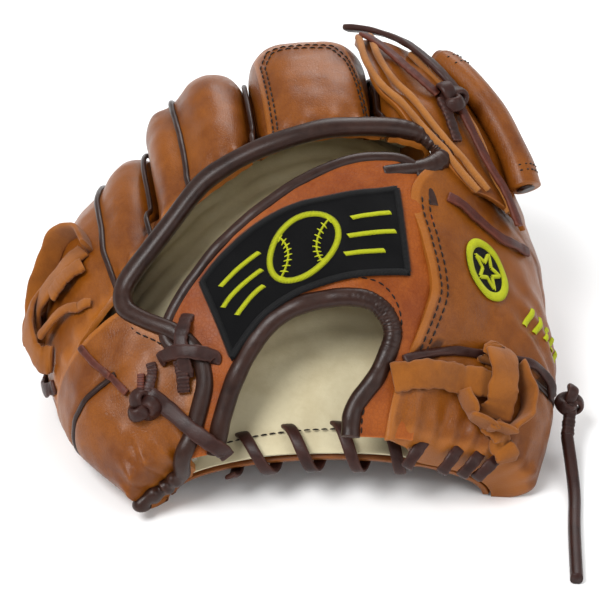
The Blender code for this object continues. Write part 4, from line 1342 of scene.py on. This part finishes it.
badge_cloth = sheet("badge_cloth", badge_place, (10, 60), 0.9 * MM)
finish_piece(badge_cloth, PATCH, THUMB_BEND, ("thumb_badge",))
embroider("badge_ring", BADGE_AT, np.c_[np.cos(turn), np.sin(turn)] * (BADGE_RADIUS - 1 * MM),
          2.0 * MM, above=0.9)
STAR_TIP, STAR_NOTCH = 8.2 * MM, 3.4 * MM
star_turn = np.arange(11) * np.pi / 5
star_reach = np.where(np.arange(11) % 2 == 0, STAR_TIP, STAR_NOTCH)
star = np.c_[np.sin(star_turn) * star_reach, np.cos(star_turn) * star_reach]
star = np.concatenate([np.linspace(a, b, 7)[:-1] for a, b in zip(star[:-1], star[1:])])
embroider("badge_star", BADGE_AT, star, 0.95 * MM, above=0.9)
for index in range(5):
    middle = (0.812 + 0.022 * index, 0.326 + 0.011 * index)
    bar_line = np.linspace((-2.5 * MM, -6 * MM), (1.5 * MM, 6 * MM), 9)
    embroider(f"thumb_bar_{index}", middle, bar_line, 1.5 * MM, slant=0.4)
print("embroidery done")

# %% [markdown]
# ## Little-finger side
# The side hide joins strap, heel and little finger. Its top edge tucks under the little
# finger's stall; its inner edge meets the strap under the slot's binding.
# It is drawn in at the heel, where it gathers, and a dark welt lies in a valley across it.

# %% Side hide


def valley_at(u):
    """Where the side hide's seam valley runs, as its v."""
    return 0.70 + 0.10 * (0.83 - u)


def side_place(u, v):
    """The side hide: v runs from the heel up, u from the little finger's edge inwards."""
    u, v = np.broadcast_arrays(np.asarray(u, float), np.asarray(v, float))
    side = rounded(u, -1.0, 0.0)[0]
    along = (0.345 + 0.05 * (1 - u)) * v
    across = PINKY_SEAM * side + (seam_line(along) - PINKY_SEAM) * side**5
    points = hide_surface(across, along)
    gathers = 1.5 * MM * np.sin(across * 150 + v * 5) * ridge(v, 0.04, 0.20)
    crease = 1.5 * MM * ridge(u, 0.755 + 0.02 * v, 0.020) * smooth(0.42, 0.30, v)
    valley = 2.0 * MM * ridge(v, valley_at(u), 0.030) * smooth(0.90, 0.80, u)
    uneven = drape(points, 36 * MM, 0.8 * MM) + drape(points, 12 * MM, 0.2 * MM)
    over = (uneven + gathers - crease - valley) * smooth(0.0, 0.12, u)
    return points + surface_normal(across, along) * over[..., None]


side_hide = sheet("side_hide", side_place, (90, 100), LEATHER)
paint_wear_and_shade(side_hide)
finish_piece(side_hide, HIDE, FINGER_BEND, ("pinky_side_shell",))
valley_u = np.linspace(0.06, 0.85, 12)
route = lay(side_place, np.c_[valley_u, valley_at(valley_u), np.full(12, 0.5)], 120)
welt("side_seam_welt", route, (1.4 * MM, 1.2 * MM), 200, "palm")
print("side hide", len(side_hide.data.vertices), "vertices")

# %% [markdown]
# ## Laces and knots
# Rawhide lace is a flat strip with softly rounded edges. It lies on the hide, dives through
# punched holes, and is drawn into overhand knots with cut ends.

# %% Lace helpers


def lace(name, points, normals, rides, replaced=(), half_width=2.5 * MM, half_thick=1.05 * MM,
         material=LACE, steps=90, slot="lace", square=3.2):
    """A flat strip whose width wavers a little, as cut rawhide does."""
    obj = mirror_fix(sweep(name, points, normals, half_width, half_thick, steps=steps,
                           square=square, sides=16,
                           swell=lambda t: 1 + 0.05 * np.sin(t * 23) + 0.03 * np.sin(t * 57)))
    paint_wear_and_shade(obj, rub=1.2)
    return finish_piece(obj, material, rides, replaced)


def laid_lace(name, shape, stops, rides, replaced=(), **sizes):
    """Lace or thong along stops (u, v, mm above) of a sheet's own shape."""
    points, normals = lay(shape, stops, 40)
    if np.sum(normals[:, 2]) < 0:
        normals = -normals
    return lace(name, points, normals, rides, replaced, **sizes)


def overhand(name, centre, up, turn, size, rides, replaced=(), half_width=2.9 * MM,
             half_thick=1.5 * MM):
    """A drawn-up overhand knot: three lobes of flat lace that cross over each other."""
    up = unit(np.array(up, float))
    first = unit(np.cross(up, [0.3, 0.9, 0.2]))
    second = np.cross(up, first)
    angle = np.linspace(0, 2 * np.pi, 40, endpoint=False)
    x = np.sin(angle) + 2 * np.sin(2 * angle)
    y = np.cos(angle) - 2 * np.cos(2 * angle)
    z = -np.sin(3 * angle) * 0.95
    a, b = x * np.cos(turn) - y * np.sin(turn), x * np.sin(turn) + y * np.cos(turn)
    points = centre + size * (a[:, None] * first + b[:, None] * second + z[:, None] * up)
    normals = unit(points - centre + up * size * 2.2)
    obj = mirror_fix(sweep(name, points, normals, half_width, half_thick, steps=160, closed=True,
                           square=2.8, sides=14))
    paint_wear_and_shade(obj, rub=1.2)
    return finish_piece(obj, LACE, rides, replaced)


def tied(name, shape, stops, rides, replaced=(), **sizes):
    """Lace or thong over a pattern surface along stops (across, along, mm above)."""
    points, normals = pattern_lay(shape, stops, 60)
    return lace(name, points, normals, rides, replaced, **sizes)

# %% [markdown]
# ## Laces at the side and the heel
# Rawhide laces draw side hide, strap and heel together. Each is laid along a few stops with
# a height over the hide at each, so that it can dive into a hole or arch over another.

# %% Side and heel laces
SEAT = 1.3                     # mm, middle of a lace lying on the hide
tied("knot_band", hide_surface, [(0.190, 0.176, 2.6), (0.205, 0.160, 3.6), (0.216, 0.130, 2.4),
     (0.240, 0.075, 4.6), (0.270, 0.032, 5.6), (0.286, 0.012, 3.6), (0.292, -0.004, -2.0)],
     "palm", ("heel_knot_lace",), half_width=3.3 * MM)
laid_lace("side_thin_lace", side_place, [(0.80, 0.98, 0.6), (0.815, 0.85, SEAT),
          (0.835, 0.70, SEAT), (0.850, 0.56, 2.0)], "palm", ("side_lace",),
          half_width=1.5 * MM, material=LACE_RED)
laid_lace("side_short_lace", side_place, [(0.905, 0.60, SEAT), (0.893, 0.55, 1.6),
          (0.880, 0.50, 2.4)], "palm", half_width=1.6 * MM, material=LACE_RED)
laid_lace("side_lace_tip", side_place, [(0.935, 0.63, 0.4), (0.925, 0.57, 2.4), (0.900, 0.50, 3.0)],
          "palm", ("heel_corner_lace",), half_width=2.1 * MM)
tied("strap_lace_vertical", hide_surface, [(0.296, 0.262, 0.4), (0.290, 0.244, 4.0),
     (0.280, 0.222, 6.0), (0.274, 0.190, 5.4), (0.268, 0.165, 1.2)], "palm", ("strap_lace_band",),
     half_width=3.0 * MM)
tied("strap_lace_cross", hide_surface, [(0.236, 0.216, 0.2), (0.246, 0.216, 2.6),
     (0.272, 0.206, 6.8), (0.300, 0.190, 6.4), (0.318, 0.176, 2.6), (0.314, 0.168, 0.4)], "palm",
     half_width=3.0 * MM)
tied("strap_lace_hanging", hide_surface, [(0.266, 0.196, 3.6), (0.262, 0.170, 3.0),
     (0.254, 0.142, 1.6)], "palm", ("strap_lace_tail",), half_width=2.7 * MM)
centre, up = lay(side_place, [(0.872, 0.446, 3.0), (0.872, 0.446, 3.0)], 2)
overhand("side_knot", centre[0], up[0], 0.4, 1.9 * MM, "palm")
print("side laces laid")

# %% [markdown]
# ## Whip lace along the heel
# One lace is whipped round the heel's edge, through pocket and lining, so its route is a
# spiral round the edge line. Four short arches stand for the lace that gathers the thumb's
# heel, and a row of stitches holds the lining's edge.

# %% Heel whip lace
WHIP_STOP, WHIP_ALONG, WHIP_RISE = 0.02, 0.040, 7.0 * MM
WHIP_TURNS, WHIP_COUNT = 4, 241
WHIP_HEIGHT = 3.0 * MM
whip_angle = np.linspace(0, 2 * WHIP_TURNS * np.pi, WHIP_COUNT)
whip_across = np.linspace(0.27, 0.64, WHIP_COUNT)
whip_along = WHIP_STOP + WHIP_ALONG * np.cos(whip_angle + np.pi)
whip_height = WHIP_HEIGHT + WHIP_RISE * np.sin(whip_angle + np.pi)
whip_points = form(whip_across, whip_along, whip_height)
whip_centre = form(whip_across, np.full(WHIP_COUNT, WHIP_STOP), WHIP_HEIGHT)
lace("heel_whip_lace", whip_points, unit(whip_points - whip_centre), "palm", ("heel_lace",),
     half_width=2.6 * MM, half_thick=1.1 * MM, steps=480)
for index, (s, lean) in enumerate(((0.668, 0.022), (0.748, 0.018), (0.800, 0.016),
                                  (0.842, 0.016))):
    turn = np.linspace(-0.2, np.pi + 0.3, 30)
    across = s + lean * np.cos(turn)
    along = 0.012 + 0.034 * np.cos(turn)
    height = 0.5 * back(across, np.full(30, 0.02)) + np.sin(turn) * 6 * MM
    points = form(across, along, np.maximum(height, 1 * MM))
    lace(f"thumb_heel_lace_{index}", points, unit(points - form(s, 0.02, 10 * MM)), THUMB_BEND)
heel_s = np.linspace(0.265, 0.60, 30)
heel_t = np.full(30, 0.046)
heel_points = form(heel_s, heel_t, LEATHER + LINING + 2.6 * MM)
heel_normals = surface_normal(heel_s, heel_t)
finish_piece(stitch_line("lining_heel_stitches", heel_points, heel_normals), THREAD_DARK, "palm")
print("whip lace laid")

# %% [markdown]
# ## Thongs, thumb knot and the free lace
# Two wide suede thongs tie the little finger and the thumb. The thumb lace leaves its knot
# and hangs free, down over the edge onto the surface.

# %% Thongs
THONG_SIZES = dict(half_width=6.0 * MM, half_thick=1.4 * MM, material=THONG, slot="thong")
RING_SIZES = dict(half_width=1.3 * MM, half_thick=5.4 * MM, material=THONG, slot="thong")
LITTLE = stalls["pinky"]
laid_lace("pinky_thong_band", LITTLE, [(0.36, 0.20, 1.0), (0.38, 0.16, 2.4), (0.44, 0.15, 4.6),
          (0.52, 0.14, 3.6), (0.58, 0.14, 1.0)], "fingers", ("pinky_thong",), **THONG_SIZES)
laid_lace("pinky_thong_fold", LITTLE, [(0.46, 0.20, 2.0), (0.43, 0.16, 7.0), (0.40, 0.11, 8.5),
          (0.38, 0.07, 5.0), (0.40, 0.05, 1.4)], "fingers", **THONG_SIZES)
laid_lace("pinky_thong_tail", LITTLE, [(0.42, 0.085, 6.0), (0.49, 0.07, 3.6),
          (0.53, 0.045, 2.2), (0.56, 0.030, 1.6)], "fingers", half_width=2.2 * MM,
          half_thick=1.2 * MM, material=THONG, slot="thong")
laid_lace("pinky_thong_tab", LITTLE, [(0.49, 0.115, 4.6), (0.53, 0.105, 4.4),
          (0.58, 0.095, 2.2)], "fingers", half_width=4.4 * MM, half_thick=1.3 * MM,
          material=THONG, slot="thong")
laid_lace("pinky_thong_ring", LITTLE, [(0.36, 0.13, 4.0), (0.40, 0.21, 5.0), (0.50, 0.235, 5.0),
          (0.58, 0.19, 4.4), (0.60, 0.12, 3.0)], "fingers", ("pinky_thong_knot",), **RING_SIZES)
laid_lace("pinky_side_lace", LITTLE, [(0.34, 0.03, 0.6), (0.30, 0.05, 2.2), (0.27, 0.09, 2.2),
          (0.26, 0.13, 0.4)], "fingers", ("pinky_edge_lace",), half_width=3.0 * MM)
tied("thumb_thong_band", thumb_surface, [(0.590, 0.098, 1.0), (0.640, 0.112, 2.2),
     (0.700, 0.128, 2.6), (0.760, 0.140, 3.4)], THUMB_BEND, ("thumb_thong",), **THONG_SIZES)
tied("thumb_thong_fold", thumb_surface, [(0.756, 0.186, 1.2), (0.758, 0.202, 4.0),
     (0.768, 0.176, 8.0), (0.780, 0.134, 8.4), (0.790, 0.104, 5.4), (0.792, 0.088, 1.6)],
     THUMB_BEND, half_width=6.8 * MM, half_thick=1.3 * MM, material=THONG, slot="thong")
tied("thumb_thong_ring", thumb_surface, [(0.712, 0.112, 4.6), (0.734, 0.082, 5.6),
     (0.776, 0.058, 5.8), (0.822, 0.070, 5.6), (0.842, 0.118, 5.6), (0.834, 0.165, 4.8),
     (0.806, 0.196, 3.6)],
     THUMB_BEND, ("thumb_thong_knot",), **RING_SIZES)
tied("thumb_thong_tail", thumb_surface, [(0.790, 0.070, 3.0), (0.822, 0.048, 2.4),
     (0.858, 0.024, 1.6)], THUMB_BEND, half_width=5.0 * MM, half_thick=1.2 * MM,
     material=THONG, slot="thong")
tied("thumb_seam_lace", thumb_surface, [(0.606, 0.130, SEAT), (0.665, 0.155, SEAT),
     (0.707, 0.180, SEAT), (0.793, 0.215, 1.8), (0.860, 0.243, 2.4), (0.895, 0.250, 2.4)],
     THUMB_BEND, half_width=2.0 * MM, half_thick=1.3 * MM)
knot_low, knot_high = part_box("thumb_lace_knot")
knot_at = (np.array(knot_low) + np.array(knot_high)) / 2
overhand("thumb_lace_tied", knot_at, (0.75, -0.55, 0.35), 0.6, 2.1 * MM, "thumb",
         ("thumb_lace_knot",), half_width=2.6 * MM, half_thick=1.2 * MM)
# The free lace: from the knot over the edge, then flat on the surface to its cut end.
TAIL = np.array([(113, -69, 12), (114, -84, 6), (114, -98, 2.8), (112, -118, 2.8),
                 (110, -148, 2.8)]) * MM
TAIL_RADIUS = 2.6 * MM
lead = np.array([knot_at, (knot_at + TAIL[0]) / 2, TAIL[0] + (TAIL[1] - TAIL[0]) * 0.04])
lace("thumb_lace_lead", lead, np.tile([0.3, -0.3, 1.0], (3, 1)), "thumb", half_width=TAIL_RADIUS,
     half_thick=TAIL_RADIUS * 0.9, steps=40)
tail_path = spline(TAIL, np.linspace(0, 1, 41))
tail = mirror_fix(sweep("thumb_lace_end", tail_path, np.tile([0.1, 0.0, 1.0], (41, 1)),
                        TAIL_RADIUS, TAIL_RADIUS, steps=120, square=2.6, sides=16))
finish_piece(tail, LACE, "thumb", ("thumb_lace_tail",))

# %% [markdown]
# ## Web
# A rolled hide bar bridges index finger and thumb. Below it hang a back hide with raw-edged
# strips along its sides, and a post and two straps on the pocket's side. A bundle of laces
# ties them to the index fingertip. All ride on the fingers and stop short of the thumb.

# %% Web
WEB_CLEAR = 0.030              # across, between the web's straps and the thumb
STRIP_HEIGHT, POST_HEIGHT = 17.4 * MM, 14.0 * MM


def web_right(along):
    return thumb_inner(along / THUMB_TIP) - WEB_CLEAR


# both sides of the back hide (across, along), from the bar down
WEB_LEFT = [(0.550, 0.705), (0.564, 0.622), (0.590, 0.572), (0.618, 0.520), (0.650, 0.482),
            (0.690, 0.460)]
WEB_RIGHT = [(0.640, 0.745), (0.688, 0.700), (0.732, 0.652), (0.764, 0.590), (0.780, 0.535),
             (0.782, 0.490)]


def web_surface(across, along):
    """The outside of the web, level with the top of the index stall."""
    return form(across, along, back(across, along) + 1.8 * MM)


def web_panel_place(u, v):
    """The web's back hide, from the bar down, bowed a little outwards."""
    left, right = spline(WEB_LEFT, v), spline(WEB_RIGHT, v)
    across, along = np.moveaxis(left + (right - left) * u[..., None], -1, 0)
    points = web_surface(across, along)
    lift = drape(points, 26 * MM, 0.7 * MM) + 1.2 * MM * np.sin(np.pi * u)
    return points + surface_normal(across, along) * lift[..., None]


panel = sheet("web_panel", web_panel_place, (50, 90), LEATHER, inward=False)
paint_wear_and_shade(panel)
finish_piece(panel, HIDE, "fingers")
BAR_WIDE, BAR_THICK = 8.0 * MM, 6.4 * MM
bar_points, bar_normals = pattern_lay(web_surface, [(0.642, 0.722, 5.0), (0.680, 0.690, 6.0),
                                                    (0.716, 0.655, 6.0), (0.748, 0.612, 6.0),
                                                    (0.768, 0.576, 5.0)], 60)
bar = mirror_fix(sweep("web_bar", bar_points, bar_normals, BAR_WIDE, BAR_THICK, steps=90,
                       square=2.3, sides=40,
                       swell=lambda t: 1 + 0.03 * np.sin(t * 17) + 0.05 * ridge(t, 1.0, 0.08)
                       - 0.25 * ridge(t, 0.0, 0.03)))
paint_wear_and_shade(bar)
finish_piece(bar, HIDE, "fingers", ("web_top_bar",))
# Painted shade: a dark tapered plug in the bar's open end stands for the shadowed inside of the
# rolled hide.
bar_end_shade = mirror_fix(sweep("web_bar_hollow_shade", bar_points[-3:], bar_normals[-3:], BAR_WIDE * 0.62,
                        BAR_THICK * 0.62, steps=8, square=2.0, sides=24,
                        swell=lambda t: 0.5 + 0.5 * t))
bar_end_shade.location = tuple(unit(bar_points[-1] - bar_points[-3]) * 0.6 * MM)
finish_piece(bar_end_shade, BINDING, "fingers")
half_turn = np.linspace(0.12 * np.pi, 0.88 * np.pi, 24)
for index, place in enumerate((0.10, 0.15, 0.85, 0.90)):
    i = int(place * 59)
    ahead = unit(bar_points[i + 1] - bar_points[i - 1])
    side = np.cross(ahead, bar_normals[i])
    out = (np.cos(half_turn)[:, None] * side * BAR_WIDE
           + np.sin(half_turn)[:, None] * bar_normals[i] * BAR_THICK)
    finish_piece(stitch_line(f"web_bar_stitches_{index}", bar_points[i] + out * 1.03, unit(out),
                             2.0 * MM, 0.8 * MM), THREAD_DARK, "fingers")


def web_piece(name, left, right, low, high, height):
    """One flat strip of the web between two pattern corners."""
    def web_place(u, v):
        return form(left + (right - left) * u, low + (high - low) * v, height)

    obj = sheet(name + "_hide", web_place, (20, 30), 3.0 * MM, inward=False)
    paint_wear_and_shade(obj)
    return finish_piece(obj, HIDE, "fingers", (name,))


web_piece("web_post", 0.655, 0.690, 0.65, 0.90, POST_HEIGHT)
web_piece("web_cross_strap", 0.662, web_right(0.78), 0.775, 0.825, STRIP_HEIGHT)
web_piece("web_base_strap", 0.662, web_right(0.66), 0.655, 0.705, STRIP_HEIGHT)
EDGE_SIZES = dict(half_width=1.5 * MM, half_thick=1.5 * MM, material=RAW_EDGE, slot="leather",
                  square=2.4, steps=160)
left_strip = [(0.552, 0.700), (0.556, 0.649), (0.572, 0.607), (0.596, 0.579), (0.616, 0.546),
              (0.638, 0.508), (0.656, 0.487), (0.674, 0.472), (0.694, 0.462)]
right_strip = [(0.610, 0.700), (0.629, 0.669), (0.649, 0.652), (0.669, 0.637), (0.689, 0.612),
               (0.707, 0.575), (0.724, 0.515), (0.745, 0.474)]
for index, (strip, aside) in enumerate(((left_strip, 0.0), (left_strip, 0.013),
                                        (right_strip, 0.0))):
    stops = [(s + aside, r + aside, 1.6 + 60 * aside) for s, r in strip]
    tied(f"web_raw_edge_{index}", web_surface, stops, "fingers", **EDGE_SIZES)
tied("web_lace_flat", web_surface, [(0.545, 0.752, 6.0), (0.589, 0.722, 5.0), (0.617, 0.688, 5.0),
     (0.645, 0.660, 5.0), (0.668, 0.640, 4.4)], "fingers", ("web_lace",), half_width=3.2 * MM,
     half_thick=1.5 * MM)
tied("web_lace_second", web_surface, [(0.556, 0.700, 3.4), (0.589, 0.657, 4.0), (0.610, 0.637, 4.0),
     (0.636, 0.618, 4.0)], "fingers", half_width=2.4 * MM, material=LACE_RED)
tied("web_lace_end", web_surface, [(0.640, 0.610, 4.6), (0.652, 0.578, 4.0), (0.662, 0.540, 3.2)],
     "fingers", half_width=2.6 * MM)
tied("web_lace_long", web_surface, [(0.664, 0.620, 4.4), (0.689, 0.569, 4.2), (0.712, 0.519, 4.4),
     (0.737, 0.485, 4.4), (0.757, 0.455, 4.0)], "fingers", half_width=2.6 * MM, material=LACE_RED)
centre, up = pattern_lay(web_surface, [(0.652, 0.622, 6.0), (0.652, 0.621, 6.0)], 2)
overhand("web_lace_tied", centre[0], up[0], 1.1, 2.3 * MM, "fingers", ("web_lace_knot",),
         half_width=3.2 * MM, half_thick=1.4 * MM)
tied("thumb_web_lace", thumb_surface, [(0.654, 0.424, 0.4), (0.672, 0.421, 2.0),
     (0.698, 0.419, 2.0), (0.741, 0.421, 2.0), (0.775, 0.448, 2.0), (0.800, 0.474, 1.0)],
     "thumb", half_width=2.4 * MM, material=LACE_RED)
print("web laid")

# %% [markdown]
# ## The middle finger's pad
# A soft finger pad is sewn over the middle stall's mouth with two rows of stitches. It's laid
# a little above the stall, and fuller at its middle.

# %% Middle finger pad
PAD_LEFT, PAD_RIGHT = 0.437, 0.570     # across, at its lower edge
PAD_START, PAD_LENGTH = 0.492, 0.205   # along


def stall_over(finger):
    """A finger stall's surface at a pattern place."""
    left, right = STALLS[finger]
    share = np.linspace(0, 1, 400)
    sides, runs = rounded(share, -1.0, 1.0)[0], rounded(share, 0.0, 1.0)[0]

    def place(across, along, lift=0.0):
        u = np.interp((across - left) / (right - left), sides, share)
        low = finger_start(across) - MOUTH_REACH
        return stalls[finger](u, np.interp((along - low) / (TIP - low), runs, share), lift)

    return place


middle_over = stall_over("middle")


def pad_place(u, v):
    """The pad, narrower towards the fingertip and fuller at its middle."""
    along = PAD_START + PAD_LENGTH * v
    right = PAD_RIGHT - 0.034 * v**2
    across = PAD_LEFT + (right - PAD_LEFT) * u
    crown = np.sin(np.pi * np.clip(u, 0, 1)) ** 0.5 * np.sin(np.pi * np.clip(v, 0, 1)) ** 0.5
    return middle_over(across, along, (0.9 + 1.0 * crown) * MM)


pad_hide = sheet("middle_pad", pad_place, (60, 60), 1.6 * MM, inward=True, soften=0.6 * MM)
paint_wear_and_shade(pad_hide)
finish_piece(pad_hide, HIDE, "fingers", ("middle_finger_pad",))
for index, inset in enumerate((0.06, 0.10)):
    outline = line_stops([(inset, 0.02), (inset, 0.90 - inset), (inset + 0.10, 1 - inset),
                          (0.90 - inset, 1 - inset), (1 - inset, 0.90 - inset), (1 - inset, 0.02)])
    points, normals = lay(pad_place, [(*p, 0.15) for p in outline], 240)
    finish_piece(stitch_line(f"middle_pad_stitches_{index}", points, normals), THREAD_DARK,
                 "fingers")
print("pad done")

# %% Update the view layer
bpy.context.view_layer.update()
